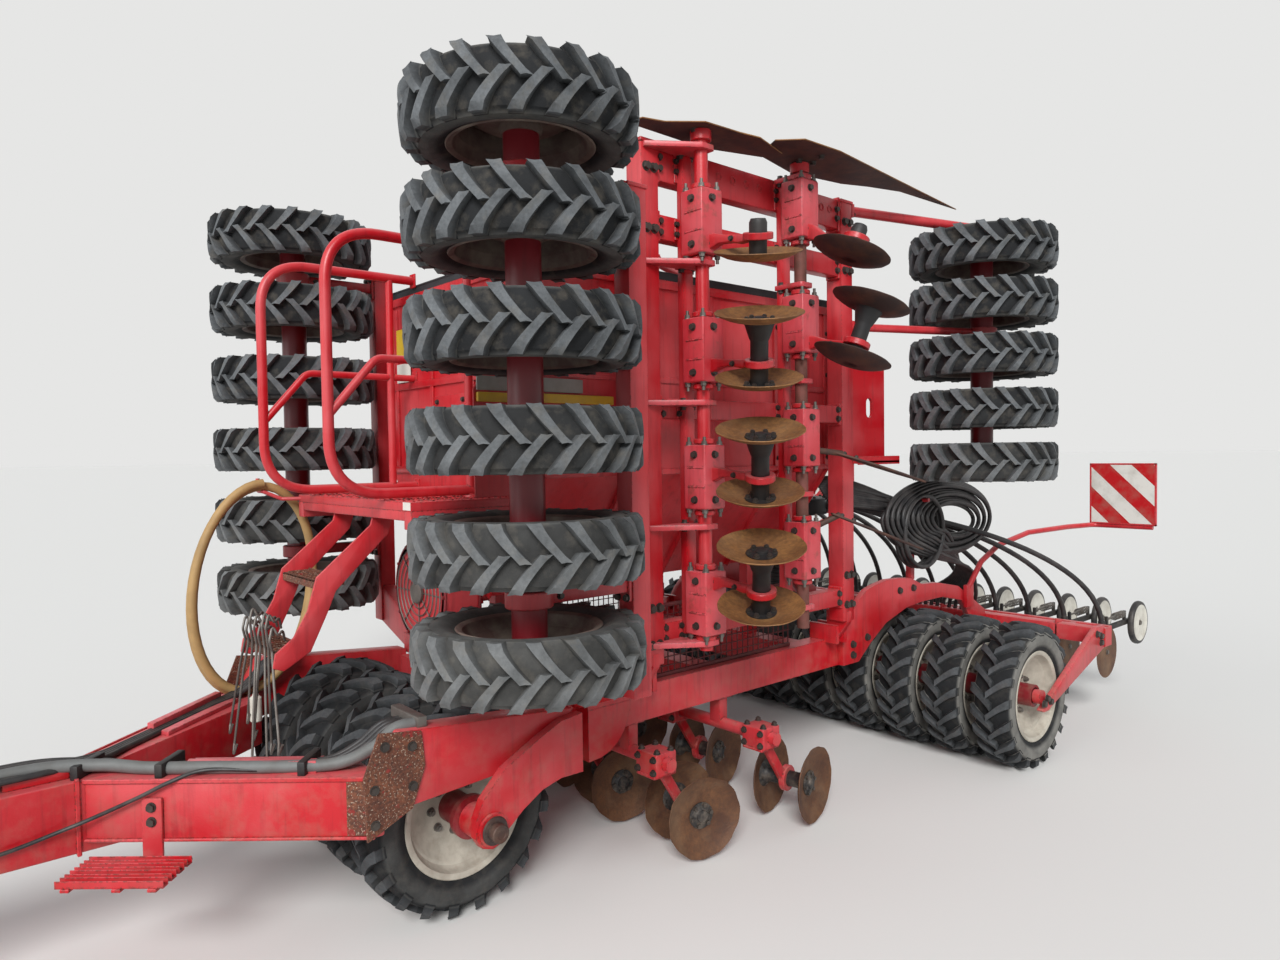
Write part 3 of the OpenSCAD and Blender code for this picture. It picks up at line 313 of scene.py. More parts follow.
def plain_finish(name, main, worn, roughness, metallic, share):
    """A plain finish with its own cloudiness and dirt: zinc, castings, mouldings and hose covers."""
    made, tree, shader, place = start_material(name, roughness, metallic)
    cloud = speckle(tree, place, 11.0, 0.4, 0.7, detail=6.0)
    colour = blend_colours(tree, calculate(tree, "MULTIPLY", cloud, share), linear(main), linear(worn))
    low = calculate(tree, "MULTIPLY", lying_low(tree, place, 0.8), speckle(tree, place, 25.0, 0.45, 0.7))
    colour = blend_colours(tree, calculate(tree, "MULTIPLY", low, 0.5), colour, linear("#85786A"))
    tree.links.new(colour, shader.inputs["Base Color"])
    put_bump(tree, shader, place, 90.0, 0.0015, 0.4)
    return made


def striped_board():
    """Reflective sheet with slanting red and white stripes 100 mm wide."""
    made, tree, shader, place = start_material("reflective_striped_sheet", 0.35)
    axis = add_node(tree, "ShaderNodeSeparateXYZ", {0: place.outputs["Object"]})
    across = calculate(tree, "ABSOLUTE", axis.outputs[1])
    slant = calculate(tree, "ADD", across, axis.outputs[2])
    band = calculate(tree, "FRACT", calculate(tree, "MULTIPLY", slant, 1 / 0.2828))
    red = calculate(tree, "GREATER_THAN", band, 0.5)
    colour = blend_colours(tree, red, linear("#D8D6CF"), linear("#B4161C"))
    dirt = calculate(tree, "MULTIPLY", speckle(tree, place, 12.0, 0.45, 0.75, detail=6.0), 0.4)
    colour = blend_colours(tree, dirt, colour, linear("#8A8274"))
    tree.links.new(colour, shader.inputs["Base Color"])
    put_bump(tree, shader, place, 300.0, 0.0005, 0.3)
    return made


# Plain finishes: name, main and worn colour, roughness, metallic, share of the worn colour
PLAIN_FINISHES = {
    # Plated steel that has gone dull keeps a soft grey shine
    "zinc": ("dull_zinc_plate", "#8E908F", "#5F5A55", 0.45, 0.7, 0.5),
    "nut": ("dull_zinc_nuts", "#77736E", "#4E4038", 0.5, 0.6, 0.5),
    # Black bolts: dark, and oil leaves them a tight shine
    "dark_bolt": ("oiled_black_bolts", "#4A4440", "#2B2523", 0.5, 0.5, 0.5),
    # Bare steel outdoors: brown and nearly matt, with a little of the metal left
    # The dark rusted sheet is also painted shade: on the rear bar's three discs its darkness stands for the
    # shade under the deflectors.
    "dark_rust_and_shade": ("dark_rusted_sheet_and_painted_shade", "#3A2C29", "#5C3C2E", 0.65, 0.2, 0.9),
    "bar_rust": ("rusted_round_bar", "#5E3B31", "#8A4F48", 0.7, 0.2, 0.8),
    # Paint over castings, panels and pressed rims: satin where clean, matt under dust
    "iron": ("black_painted_casting", "#1A1A1C", "#3A342F", 0.55, 0.0, 0.5),
    "rim": ("dusty_cream_rim", "#B9B3A5", "#7E766A", 0.55, 0.0, 0.5),
    "dish": ("dust_caked_rim", "#5F4A44", "#82766A", 0.75, 0.0, 0.9),
    "grey": ("weathered_grey_panel", "#8E8C86", "#6A675F", 0.6, 0.0, 0.5),
    "yellow": ("faded_yellow_enamel", "#C9A227", "#9C8038", 0.5, 0.0, 0.5),
    "mesh": ("dark_red_mesh", "#5A1218", "#4A2A24", 0.6, 0.0, 0.8),
    # Moulded plastic and coated cloth: an even, low shine
    "white": ("dusty_white_moulding", "#D6D3C8", "#9A9384", 0.5, 0.0, 0.5),
    "cover": ("coated_cover_sheet", "#1C1D20", "#34363A", 0.6, 0.0, 0.5),
    # Hose covers: smooth black rubber greyed by weather, braid, and sun-bleached plastic
    "hose": ("black_hose_cover", "#1E1D1F", "#4B4745", 0.5, 0.0, 0.7),
    "grey_hose": ("grey_braided_hose", "#6B6D6C", "#4E4B46", 0.6, 0.0, 0.5),
    "tan": ("sun_bleached_tan_hose", "#A98857", "#7D6440", 0.6, 0.0, 0.5),
    # Blank vinyl stickers: clean and smoother than the paint round them
    "sticker_white": ("blank_white_sticker", "#DAD8D0", "#B4AEA2", 0.4, 0.0, 0.3),
    "sticker_yellow": ("blank_yellow_sticker", "#D8B42A", "#B59A3C", 0.4, 0.0, 0.3),
}
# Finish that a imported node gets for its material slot
NODE_FINISH = {"red_paint": "red", "axle_paint": "deep", "tyre_rubber": "rubber", "worn_steel": "worn",
               "bare_steel": "zinc", "board_sheet": "board", "white_plastic": "white",
               "black_iron": "iron", "cover_sheet": "cover", "hose_rubber": "hose"}
FINISH = {}


def dress(node_name, finish):
    """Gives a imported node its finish."""
    shown = frame["nodes"][node_name]
    for index in range(len(shown.material_slots)):
        shown.material_slots[index].link = "OBJECT"
        shown.material_slots[index].material = FINISH[finish]


# Mesh helpers

def spot(x, y, z):
    """Place given in mm ahead of the front axle, to the left and up."""
    return Vector((x / 1000 + FRONT_AXLE, y / 1000, z / 1000))


AXLE_FOOT = spot(0, 0, 0)  # places a form that is drawn in mm from the front axle
UNMOVED = Matrix.Identity(4)  # places a form whose points are places already
CORNERS = ((-1, -1), (-1, 1), (1, -1), (1, 1))


def kept(bm):
    """Closes a bmesh into a plain mesh that pieces are copied from."""
    bmesh.ops.recalc_face_normals(bm, faces=bm.faces)
    mesh = bpy.data.meshes.new("form")
    bm.to_mesh(mesh)
    bm.free()
    return mesh


def joined(forms):
    """One bmesh with every (mesh, placing) pair; a placing may be a matrix or a vector."""
    bm = bmesh.new()
    for mesh, place in forms:
        if isinstance(place, Vector):
            place = Matrix.Translation(place)
        before = len(bm.verts)
        bm.from_mesh(mesh)
        bm.verts.ensure_lookup_table()
        bmesh.ops.transform(bm, matrix=place, verts=bm.verts[before:])
    return bm


def make_piece(name, forms, finish, body, stands_for=(), angle=32.0, mirror=False):
    """Joins forms into one object that rides on its body; mirror adds the other side."""
    bm = joined(forms)
    if mirror:
        pair = bmesh.ops.duplicate(bm, geom=bm.verts[:] + bm.edges[:] + bm.faces[:])
        other = [item for item in pair["geom"] if isinstance(item, bmesh.types.BMVert)]
        bmesh.ops.scale(bm, vec=(1.0, -1.0, 1.0), verts=other)
        flipped = [item for item in pair["geom"] if isinstance(item, bmesh.types.BMFace)]
        bmesh.ops.reverse_faces(bm, faces=flipped)
    for face in bm.faces:
        face.smooth = True
    mesh = bpy.data.meshes.new(name)
    bm.to_mesh(mesh)
    bm.free()
    mesh.set_sharp_from_angle(angle=math.radians(angle))
    made = bpy.data.objects.new(name, mesh)
    bpy.context.collection.objects.link(made)
    mesh.materials.append(FINISH[finish])
    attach(made, body)
    if stands_for:
        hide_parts(*stands_for)
    return made


def both_wings(name, forms, finish, body, stands_for=(), angle=32.0):
    """The same piece on the left wing and, mirrored, on the right one; % marks the side."""
    for side, sign in (("left", 1), ("right", -1)):
        flip = Matrix.Diagonal((1.0, sign, 1.0, 1.0))
        placed = [(mesh, flip @ (Matrix.Translation(place) if isinstance(place, Vector) else place))
                  for mesh, place in forms]
        made = make_piece(name % side, placed, finish, body % side,
                          tuple(n % side for n in stands_for), angle)
        if sign < 0:
            made.data.flip_normals()


def turned(bm, profile, steps, closed=False):
    """Spins a profile of (radius, height) points about Z."""
    verts = [bm.verts.new((radius, 0.0, height)) for radius, height in profile]
    edges = [bm.edges.new(pair) for pair in zip(verts, verts[1:])]
    if closed:
        edges.append(bm.edges.new((verts[-1], verts[0])))
    bmesh.ops.spin(bm, geom=verts + edges, cent=(0, 0, 0), axis=(0, 0, 1),
                   dvec=(0, 0, 0), angle=math.tau, steps=steps, use_merge=True, use_duplicate=False)


def lathe(profile, steps=48, closed=True):
    """A turned form in mm: closed as a ring, or with its ends on the axis."""
    bm = bmesh.new()
    turned(bm, [(r / 1000, z / 1000) for r, z in profile], steps, closed)
    bmesh.ops.remove_doubles(bm, verts=bm.verts, dist=1e-6)
    return kept(bm)


def rounded(bm, rounding, segments):
    """Bevels every edge by a rounding in mm."""
    if rounding:
        sharp = [e for e in bm.edges if len(e.link_faces) == 2 and e.calc_face_angle(0.0) > 0.35]
        bmesh.ops.bevel(bm, geom=sharp, offset=rounding / 1000, offset_type="OFFSET", segments=segments,
                        profile=0.5, affect="EDGES", material=-1, clamp_overlap=True)
    return kept(bm)


def slab(low, high, rounding=3.0, segments=2):
    """Box between two corners in mm, its edges rounded."""
    bm = bmesh.new()
    bmesh.ops.create_cube(bm, size=1.0)
    low, high = Vector(low) / 1000, Vector(high) / 1000
    bmesh.ops.scale(bm, vec=high - low, verts=bm.verts)
    bmesh.ops.translate(bm, vec=(low + high) / 2, verts=bm.verts)
    return rounded(bm, rounding, segments)


def plate(outline, thick, rounding=2.0, segments=2):
    """Flat plate in mm: an outline in X and Y with its thickness up Z."""
    bm = bmesh.new()
    face = bm.faces.new([bm.verts.new((x / 1000, y / 1000, 0.0)) for x, y in outline])
    if face.normal.z > 0 or face.calc_area() == 0:
        face.normal_flip()
    shell = bmesh.ops.extrude_face_region(bm, geom=[face], use_keep_orig=True)
    bmesh.ops.translate(bm, vec=(0, 0, thick / 1000),
                        verts=[v for v in shell["geom"] if isinstance(v, bmesh.types.BMVert)])
    bmesh.ops.recalc_face_normals(bm, faces=bm.faces)
    return rounded(bm, rounding, segments)


# How a plate's X, Y and thickness lie on the machine
ON_SIDE = Matrix(((1, 0, 0, 0), (0, 0, -1, 0), (0, 1, 0, 0), (0, 0, 0, 1)))
ACROSS = Matrix(((0, 0, 1, 0), (1, 0, 0, 0), (0, 1, 0, 0), (0, 0, 0, 1)))


def side_at(y, x=0.0, z=0.0):
    """Places a plate drawn in X and Z with its outer face at y."""
    return Matrix.Translation(spot(x, y, z)) @ ON_SIDE


def across_at(x, y=0.0, z=0.0):
    """Places a plate drawn in Y and Z with its back face at x."""
    return Matrix.Translation(spot(x, y, z)) @ ACROSS


def facing(direction, place, spin=0.0):
    """Turns a form's Z to a direction, at a place."""
    turn = Vector(direction).to_track_quat("Z", "Y").to_matrix().to_4x4()
    return Matrix.Translation(place) @ turn @ Matrix.Rotation(spin, 4, "Z")


def smooth_route(points, steps=6):
    """Points of a curve through the given ones."""
    line = [Vector(p) for p in points]
    ends = [2 * line[0] - line[1]] + line + [2 * line[-1] - line[-2]]
    made = []
    for a, b, c, d in zip(ends, ends[1:], ends[2:], ends[3:]):
        for k in range(steps):
            t = k / steps
            made.append(0.5 * (2 * b + (c - a) * t + (2 * a - 5 * b + 4 * c - d) * t ** 2
                               + (3 * b - a - 3 * c + d) * t ** 3))
    return made + [line[-1]]


def filleted(points, radius, steps=6):
    """A line with its corners rounded to a radius in mm."""
    line = [Vector(p) for p in points]
    made = [line[0]]
    for a, b, c in zip(line, line[1:], line[2:]):
        into, out = (a - b).normalized(), (c - b).normalized()
        half = into.angle(out) / 2
        back = min(radius / 1000 / math.tan(half), (a - b).length * 0.49, (c - b).length * 0.49)
        start, end = b + into * back, b + out * back
        for k in range(steps + 1):
            t = k / steps
            made.append(start * (1 - t) ** 2 + b * 2 * t * (1 - t) + end * t ** 2)
    return made + [line[-1]]


def tube(route, radius, sides=12):
    """Round bar, hose or pipe along a route, its radius in mm and its ends closed."""
    bm = bmesh.new()
    line = [Vector(p) for p in route]
    steer = (line[1] - line[0]).normalized()
    frame_now = steer.to_track_quat("Z", "Y").to_matrix().to_4x4()
    ring = bmesh.ops.create_circle(bm, cap_ends=True, radius=radius / 1000, segments=sides,
                                   matrix=Matrix.Translation(line[0]) @ frame_now)["verts"]
    edges = list(dict.fromkeys(e for v in ring for e in v.link_edges))
    for k in range(1, len(line)):
        ahead = (line[min(k + 1, len(line) - 1)] - line[k - 1]).normalized()
        turn = steer.rotation_difference(ahead).to_matrix().to_4x4()
        move = Matrix.Translation(line[k]) @ turn @ Matrix.Translation(-line[k - 1])
        new = bmesh.ops.extrude_edge_only(bm, edges=edges)["geom"]
        edges = [item for item in new if isinstance(item, bmesh.types.BMEdge)
                 and all(v in new for v in item.verts)]
        verts = [item for item in new if isinstance(item, bmesh.types.BMVert)]
        bmesh.ops.transform(bm, matrix=move, verts=verts)
        steer = ahead
    bmesh.ops.contextual_create(bm, geom=edges)
    return kept(bm)


def block(low, high, rounding=3.0, segments=2):
    """A slab between two places on the machine, ready to be joined."""
    return slab(low, high, rounding, segments), AXLE_FOOT


def pipe(route, radius, sides=12):
    """A tube along places on the machine, ready to be joined."""
    return tube(route, radius, sides), UNMOVED


def hex_bolt(across=19.0, head=11.0, stud=0.0):
    """Hexagon head on a washer, standing up Z from its seat; a stud stands out past it."""
    bm = bmesh.new()
    r = across / 2000 / math.cos(math.pi / 6)
    bmesh.ops.create_cone(bm, cap_ends=True, segments=20, radius1=r * 1.28, radius2=r * 1.24,
                          depth=0.003, matrix=Matrix.Translation((0, 0, 0.0015)))
    bmesh.ops.create_cone(bm, cap_ends=True, segments=6, radius1=r, radius2=r, depth=head / 1000,
                          matrix=Matrix.Translation((0, 0, 0.0028 + head / 2000)))
    if stud:
        bmesh.ops.create_cone(bm, cap_ends=True, segments=14, radius1=r * 0.56, radius2=r * 0.56,
                              depth=stud / 1000, matrix=Matrix.Translation((0, 0, head / 1000 + stud / 2000)))
    return kept(bm)


def with_faces(verts):
    """Verts together with the edges and faces on them, in a fixed order."""
    edges = dict.fromkeys(e for v in verts for e in v.link_edges)
    faces = dict.fromkeys(f for v in verts for f in v.link_faces)
    return list(verts) + list(edges) + list(faces)


def tyre_mesh(sizes):
    """One tyre round Z: a spun carcass with two rows of bar lugs that lean to a point."""
    outer, half, rim = sizes.radius - LUG_ROUNDING, sizes.width / 2, sizes.rim_radius
    floor = outer - sizes.lug_height
    bm = bmesh.new()
    wear = bm.verts.layers.float.new("wear")
    upper = [(floor + 0.002, 0.0), (floor, half * 0.5), (floor - 0.010, half * 0.82),
             (floor - 0.028, half * 0.97), (floor - 0.055, half), (rim + 0.062, half * 0.97),
             (rim + 0.030, half * 0.86), (rim + 0.022, half * 0.80), (rim, half * 0.76)]
    profile = [(r, -z) for r, z in reversed(upper[1:])] + upper
    turned(bm, profile, 80, closed=True)
    for vert in bm.verts:
        vert[wear] = WALL_WEAR if abs(vert.co.z) > half * 0.9 else 0.05
    tread = len(bm.verts)
    grid = bmesh.ops.create_grid(bm, x_segments=6, y_segments=2, size=0.5)
    flat = set(grid["verts"])
    top = [f for f in bm.faces if all(v in flat for v in f.verts)]
    shell = bmesh.ops.extrude_face_region(bm, geom=top)
    for item in shell["geom"]:
        if isinstance(item, bmesh.types.BMVert):
            item.co.z = 1.0
    bm.verts.ensure_lookup_table()
    lug = bm.verts[tread:]
    for vert in lug:
        along, across, lift = vert.co.x + 0.5, vert.co.y, vert.co.z
        z = -0.012 + along * (half + 0.011)
        crown = 0.004 * along ** 2 + (0.014 * (along - 0.83) / 0.17 if along > 0.83 else 0.0)
        radius = outer - crown if lift > 0.5 else floor - 0.012 - 0.05 * max(0.0, along - 0.66)
        thick = (0.031 + 0.011 * along) * (1.0 if lift > 0.5 else 1.28)
        lean = 0.124 * along - 0.026 * along ** 2
        angle = (-lean + across * thick) / outer
        vert.co = (radius * math.cos(angle), radius * math.sin(angle), z)
        vert[wear] = 1.0 if lift > 0.5 else 0.0
    # Edges where the worn face of the lug meets its flanks
    of_lug = set(lug)
    face_rim = [e for e in bm.edges if all(v in of_lug and v[wear] > 0.5 for v in e.verts)
                and any(w[wear] < 0.5 for f in e.link_faces for w in f.verts)]
    bmesh.ops.bevel(bm, geom=face_rim, offset=LUG_ROUNDING, offset_type="OFFSET", segments=1, profile=0.5,
                    affect="EDGES", material=-1)
    bm.verts.ensure_lookup_table()
    bmesh.ops.spin(bm, geom=with_faces(bm.verts[tread:]), cent=(0, 0, 0), axis=(0, 0, 1), dvec=(0, 0, 0),
                   angle=math.tau * (1 - 1 / sizes.lug_count), steps=sizes.lug_count - 1,
                   use_merge=False, use_duplicate=True)
    bm.verts.ensure_lookup_table()
    # The other half has the same lugs mirrored, half a lug further round
    pair = bmesh.ops.duplicate(bm, geom=with_faces(bm.verts[tread:]))
    other = [g for g in pair["geom"] if isinstance(g, bmesh.types.BMVert)]
    half_on = Matrix.Rotation(math.pi / sizes.lug_count, 4, "Z")
    bmesh.ops.transform(bm, matrix=half_on @ Matrix.Scale(-1, 4, (0, 0, 1)), verts=other)
    bmesh.ops.recalc_face_normals(bm, faces=bm.faces)
    mesh = bpy.data.meshes.new("tyre_pattern")
    bm.to_mesh(mesh)
    bm.free()
    return mesh


# Packer rows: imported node, body, axis
STACKS = (
    ("front_left_tyres", "front_left_packer", "Z"),
    ("front_right_tyres", "front_right_packer", "Z"),
    ("rear_left_tyres", "rear_left_packer", "Z"),
    ("rear_right_tyres", "rear_right_packer", "Z"),
    ("front_centre_tyres", "front_centre_packer", "Y"),
    ("rear_centre_tyres", "rear_centre_packer", "Y"),
)
PITCH = {"front": 0.361, "rear": 0.300}  # spacing of the tyres along a row, in metres
TYRE_COAT = {"rear_centre_tyres": "ground_rubber", "front_centre_tyres": "dark_rubber"}


def tyre_places(node_name, axis, half):
    """Middle of each tyre in a packer row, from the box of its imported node."""
    low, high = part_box(node_name)
    along = "XYZ".index(axis)
    pitch = PITCH[node_name.split("_")[0]]
    count = round((high[along] - low[along] - 2 * half) / pitch) + 1
    places = []
    for index in range(count):
        place = (Vector(low) + Vector(high)) / 2
        place[along] = low[along] + half + index * pitch
        places.append(place)
    return places


class DRILL_OT_finishes(bpy.types.Operator):
    """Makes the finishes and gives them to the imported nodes"""

    bl_idname = "drill.finishes"
    bl_label = "Finishes"

    def execute(self, context):
        paint = context.scene.drill_paint
        FINISH["red"] = enamel("red_enamel_faded", paint.red, paint.faded, paint.dust)
        FINISH["deep"] = enamel("axle_enamel_dark", paint.deep, "#8C2A32", paint.dust,
                                chipped=0.3, fading=0.3)
        FINISH["worn_red"] = enamel("holder_enamel_rusting", "#C2323B", "#DC737A", "#7A4A38",
                                    chipped=1.0, fading=0.6, rusting=0.5)
        FINISH["step"] = enamel("step_enamel_worn", paint.red, paint.faded, "#6F4A3C",
                                chipped=1.0, fading=0.9)
        FINISH["rubber"] = tyre_rubber("tyre_rubber_scuffed", 0.25, 0.5)
        FINISH["ground_rubber"] = tyre_rubber("tyre_rubber_dusty_walls", 0.8, 0.0, scuffing=0.5)
        FINISH["dark_rubber"] = tyre_rubber("tyre_rubber_black", 0.15, 0.0, scuffing=0.45)
        FINISH["worn"] = soil_worn_steel("soil_worn_steel", "#4E3020", "#754F33")
        FINISH["ochre"] = soil_worn_steel("ochre_rusted_steel", "#7A5230", "#A87A48")
        FINISH["rust"] = scaled_rust()
        FINISH["board"] = striped_board()
        for key, settings in PLAIN_FINISHES.items():
            FINISH[key] = plain_finish(*settings)
        for part in frame["record"]["subparts"]:
            dress(part["node"], NODE_FINISH[part["material_slot"]])
        return {"FINISHED"}


class DRILL_OT_tyres(bpy.types.Operator):
    """Lugged tyres of all six packer rows"""

    bl_idname = "drill.tyres"
    bl_label = "Tyres"

    def execute(self, context):
        pattern = tyre_mesh(context.scene.drill_tyres)
        half = context.scene.drill_tyres.width / 2
        for node_name, body, axis in STACKS:
            forms = []
            for index, place in enumerate(tyre_places(node_name, axis, half)):
                # Each tyre sits at a turn of its own, as they were pushed on
                turn = Matrix.Rotation(math.radians(37.0 * index), 4, "Z")
                if axis == "Y":
                    turn = Matrix.Rotation(math.radians(-90), 4, "X") @ turn
                elif "right" in node_name:
                    turn = Matrix.Rotation(math.pi, 4, "X") @ turn
                forms.append((pattern, Matrix.Translation(place) @ turn))
            make_piece(node_name + "_lugged", forms, TYRE_COAT.get(node_name, "rubber"), body,
                       (node_name,), angle=30.0)
        return {"FINISHED"}


class DRILL_OT_wheels(bpy.types.Operator):
    """Rims with rolled lips and bolted dishes on their axle tubes"""

    bl_idname = "drill.wheels"
    bl_label = "Wheels"

    def execute(self, context):
        barrel = lathe([(234, -81), (250, -84), (254, -88), (250, -92), (243, -91), (230, -85), (227, -78),
                        (224, -60), (212, -45), (210, 0), (212, 45), (224, 60), (227, 78), (230, 85),
                        (243, 91), (250, 92), (254, 88), (250, 84), (234, 81), (233, 62), (220, 48),
                        (218, 0), (220, -48), (233, -62)], 64)
        dish = lathe([(212, 44), (206, 42), (198, 36), (182, 20), (150, 2), (124, -10), (112, -12), (63, -12),
                      (63, -20), (114, -20), (128, -18), (153, -6), (186, 12), (203, 28), (209, 36),
                      (212, 37)], 64)
        collar = lathe([(61, -46), (68, -44), (74, -24), (74, -19), (61, -19)], 48)
        nut = hex_bolt(24, 14, 10)
        for node_name, body, axis in STACKS:
            axle_name = node_name.replace("tyres", "axle")
            axle_low, axle_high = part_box(axle_name)
            along = "XYZ".index(axis)
            places = tyre_places(node_name, axis, context.scene.drill_tyres.width / 2)
            turn = Matrix.Rotation(math.radians(-90), 4, "X") if axis == "Y" else UNMOVED
            rims, bolts = [], []
            for place in places:
                outward = turn if axis == "Z" or place[1] >= 0 else turn @ Matrix.Rotation(math.pi, 4, "X")
                stand = Matrix.Translation(place) @ outward
                rims += [(barrel, stand), (dish, stand), (collar, stand)]
                for k in range(8):
                    bolts.append((nut, stand @ Matrix.Rotation(math.tau * k / 8, 4, "Z")
                                  @ Matrix.Translation((0.096, 0, -0.012))))
            start, end = places[0].copy(), places[0].copy()
            start[along], end[along] = axle_low[along], axle_high[along]
            steer = (end - start).normalized()
            cap = lathe([(0, 0), (44, 0), (48, 4), (48, 14), (0, 14)], 32, closed=False)
            tubes = [pipe((start + steer * 0.002, end - steer * 0.002), 62, 48)]
            if node_name == "front_centre_tyres":
                drum = lathe([(61, 0), (80, 0), (84, 5), (84, 30), (61, 34)], 48)
                shaft = lathe([(0, 0), (35, 0), (35.5, 2), (35.5, 44), (32, 48), (18, 49), (16, 47),
                               (0, 47)], 32, closed=False)
                dirt = lathe([(35, 0), (50, 0), (54, 4), (50, 10), (40, 13), (35, 13)], 32)
                for sign in (1, -1):
                    edge = places[0].copy()
                    edge[1] = sign * (axle_high[1] - 0.036)
                    tubes.append((drum, facing((0, sign, 0), edge)))
                ends = [(form, facing((0, sign, 0), spot(0, sign * 844.5, AXLE_Z)))
                        for sign in (1, -1) for form in (shaft, dirt)]
                make_piece("front_shaft_ends", ends, "dark_rust_and_shade", "machine")
            make_piece(axle_name + "_tube", tubes + [(cap, facing(-steer, start + steer * 0.008)),
                                                     (cap, facing(steer, end - steer * 0.016))],
                       "deep", body, (axle_name,), angle=30.0)
            pale = "centre" in node_name
            make_piece(axle_name + "_rims", rims, "rim" if pale else "dish", body)
            make_piece(axle_name + "_nuts", bolts, "nut", body, angle=25.0)
        return {"FINISHED"}


def disc_form(worn=0.0):
    """A dished disc in mm, opening up Z; worn is the share of its radius that soil and stones took off."""
    form = lathe([(0, 0), (64, 0), (80, 2), (105, 7), (129.5, 14), (158, 26.5), (183, 38.6), (185, 41),
                  (183.5, 43.5), (157, 31.5), (128, 19.8), (104, 12.5), (79, 7.8), (64, 6), (0, 6)],
                 64, closed=False)
    for vert in form.vertices:
        a = math.atan2(vert.co.y, vert.co.x)
        nick = 0.4 * math.sin(3 * a + 0.7) + 0.35 * math.sin(7 * a + 2.1) + 0.25 * math.sin(15 * a)
        if vert.co.xy.length > 0.170:
            vert.co.xy *= 1 - worn * (1 + nick) / 2
    return form


# Disc bars of a folded wing: place behind the axle, tilt of the discs, lowest housing,
# (height of an arm, rise of its root) for each housing, heights of the holder plates
WING_BARS = (
    (FRONT_BAR, (-12, 13), 1137, ((1217, 0), (1689, 0), (2156, 0), (2672, 20)),
     (960, 1470, 2010, 2615, 3110)),
    (REAR_BAR, (-11, -17), 1310, (None, None, (2284, 31), (2762, 103)),
     (1030, 1585, 2135, 2600, 3120)),
)
WING_POSTS = (840, 2260)  # places of the uprights behind the axle
CROSS_BEAMS = ((1000, 45), (1990, 45), (2780, 54), (3055, 78))  # height and half height
# Levelling blades under the rear bar: root height, front end, heading and fall
BLADES = ((1415, (-1900, 985, 1482), 144, 22), (1800, (-1930, 980, 1788), 146, 18))


def tilted(x, level, tilt):
    """Where a wing disc's hub sits, leaning as its arm holds it."""
    return (Matrix.Translation(spot(x, DISC_SIDE, level)) @ Matrix.Rotation(math.radians(tilt[1]), 4, "Y")
            @ Matrix.Rotation(math.radians(tilt[0]), 4, "X"))


class DRILL_OT_wing_bars(bpy.types.Operator):
    """Round bars of the folded wings with their bolted housings and the arms to the discs"""

    bl_idname = "drill.wing_bars"
    bl_label = "Wing bars"

    def execute(self, context):
        housing = slab((-65, -65, -140), (65, 65, 140), 9, 3)
        rib = slab((-68, -40, -3), (68, 60, 3), 2, 1)
        ring = lathe([(29, -11), (43, -11), (46, -8), (46, 8), (43, 11), (29, 11)], 32)
        collar = lathe([(29, 0), (44, 0), (46, 2), (46, 43), (44, 45), (29, 45)], 40)
        hub_ring = lathe([(39, -14), (59, -14), (62, -11), (62, 11), (59, 14), (39, 14)], 40)
        bolt, stud = hex_bolt(24, 12), hex_bolt(22, 14, 22)
        small = hex_bolt(17, 9)
        red, brown, rusted, bolts, nuts = [], [], [], [], []
        for back, tilt, first, arms, plates in WING_BARS:
            x = -back
            bar = red if back == FRONT_BAR else brown
            bar.append(pipe((spot(x, BAR_SIDE, 925), spot(x, BAR_SIDE, 3184)), 30, 32))
            red.append((collar, spot(x, BAR_SIDE, 3140)))
            for z in plates:
                holder = [(x - 45, 805), (x - 45, 965), (x - 33, 975), (x + 33, 975), (x + 45, 965)]
                if back == FRONT_BAR:
                    holder += [(-800, 832), (-800, 820), (-980, 820)]
                rusted.append((plate(holder + [(x + 45, 805)], 24, 3, 2), spot(0, 0, z - 12)))
                for s in (-1, 1):
                    bolts.append((bolt, Matrix.Translation(spot(x + 28 * s, 832, z + 12))))
                    bolts.append((bolt, facing((0, 0, -1), spot(x + 28 * s, 832, z - 12))))
            for index in range(4):
                z = first + HOUSING_PITCH * index
                rusted.append((housing, spot(x, BAR_SIDE, z)))
                for s in (-1, 1):
                    red.append((ring, spot(x, BAR_SIDE, z + s * 156)))
                    rusted.append((rib, spot(x, BAR_SIDE, z + s * 42)))
                    for a, b in CORNERS:
                        seat = spot(x + 47 * a, BAR_SIDE + 47 * b, z + s * 139)
                        nuts.append((stud, facing((0, 0, s), seat)))
                    bolts.append((bolt, facing((0, 1, 0), spot(x + 4, 994, z + s * 98))))
                    bolts.append((bolt, facing((1, 0, 0), spot(x + 64, 934, z + s * 98))))
                if not arms[index]:
                    continue
                level, lift = arms[index]
                outline = [(950, lift - 40), (950, lift + 40), (1020, lift * 0.7 + 40),
                           (1080, lift * 0.3 + 30), (1220, 14), (1220, -14), (1155, -14), (1110, -1),
                           (1045, lift * 0.3 - 1)]
                red.append((plate(outline, 40, 7, 3), across_at(x - 20, 0, level)))
                red.append((hub_ring, tilted(x, level, tilt)))
                bolts.append((small, facing((1, 0, 0), spot(x + 19, 1120, level + lift * 0.2 + 8))))
        both_wings("%s_wing_bars", red, "red", "%s_wing", ("%s_disc_bars",))
        both_wings("%s_bar_holders", rusted, "worn_red", "%s_wing")
        both_wings("%s_rear_round_bar", brown, "bar_rust", "%s_wing")
        both_wings("%s_bar_bolts", bolts, "dark_bolt", "%s_wing", angle=25.0)
        both_wings("%s_clamp_nuts", nuts, "nut", "%s_wing", angle=25.0)
        return {"FINISHED"}


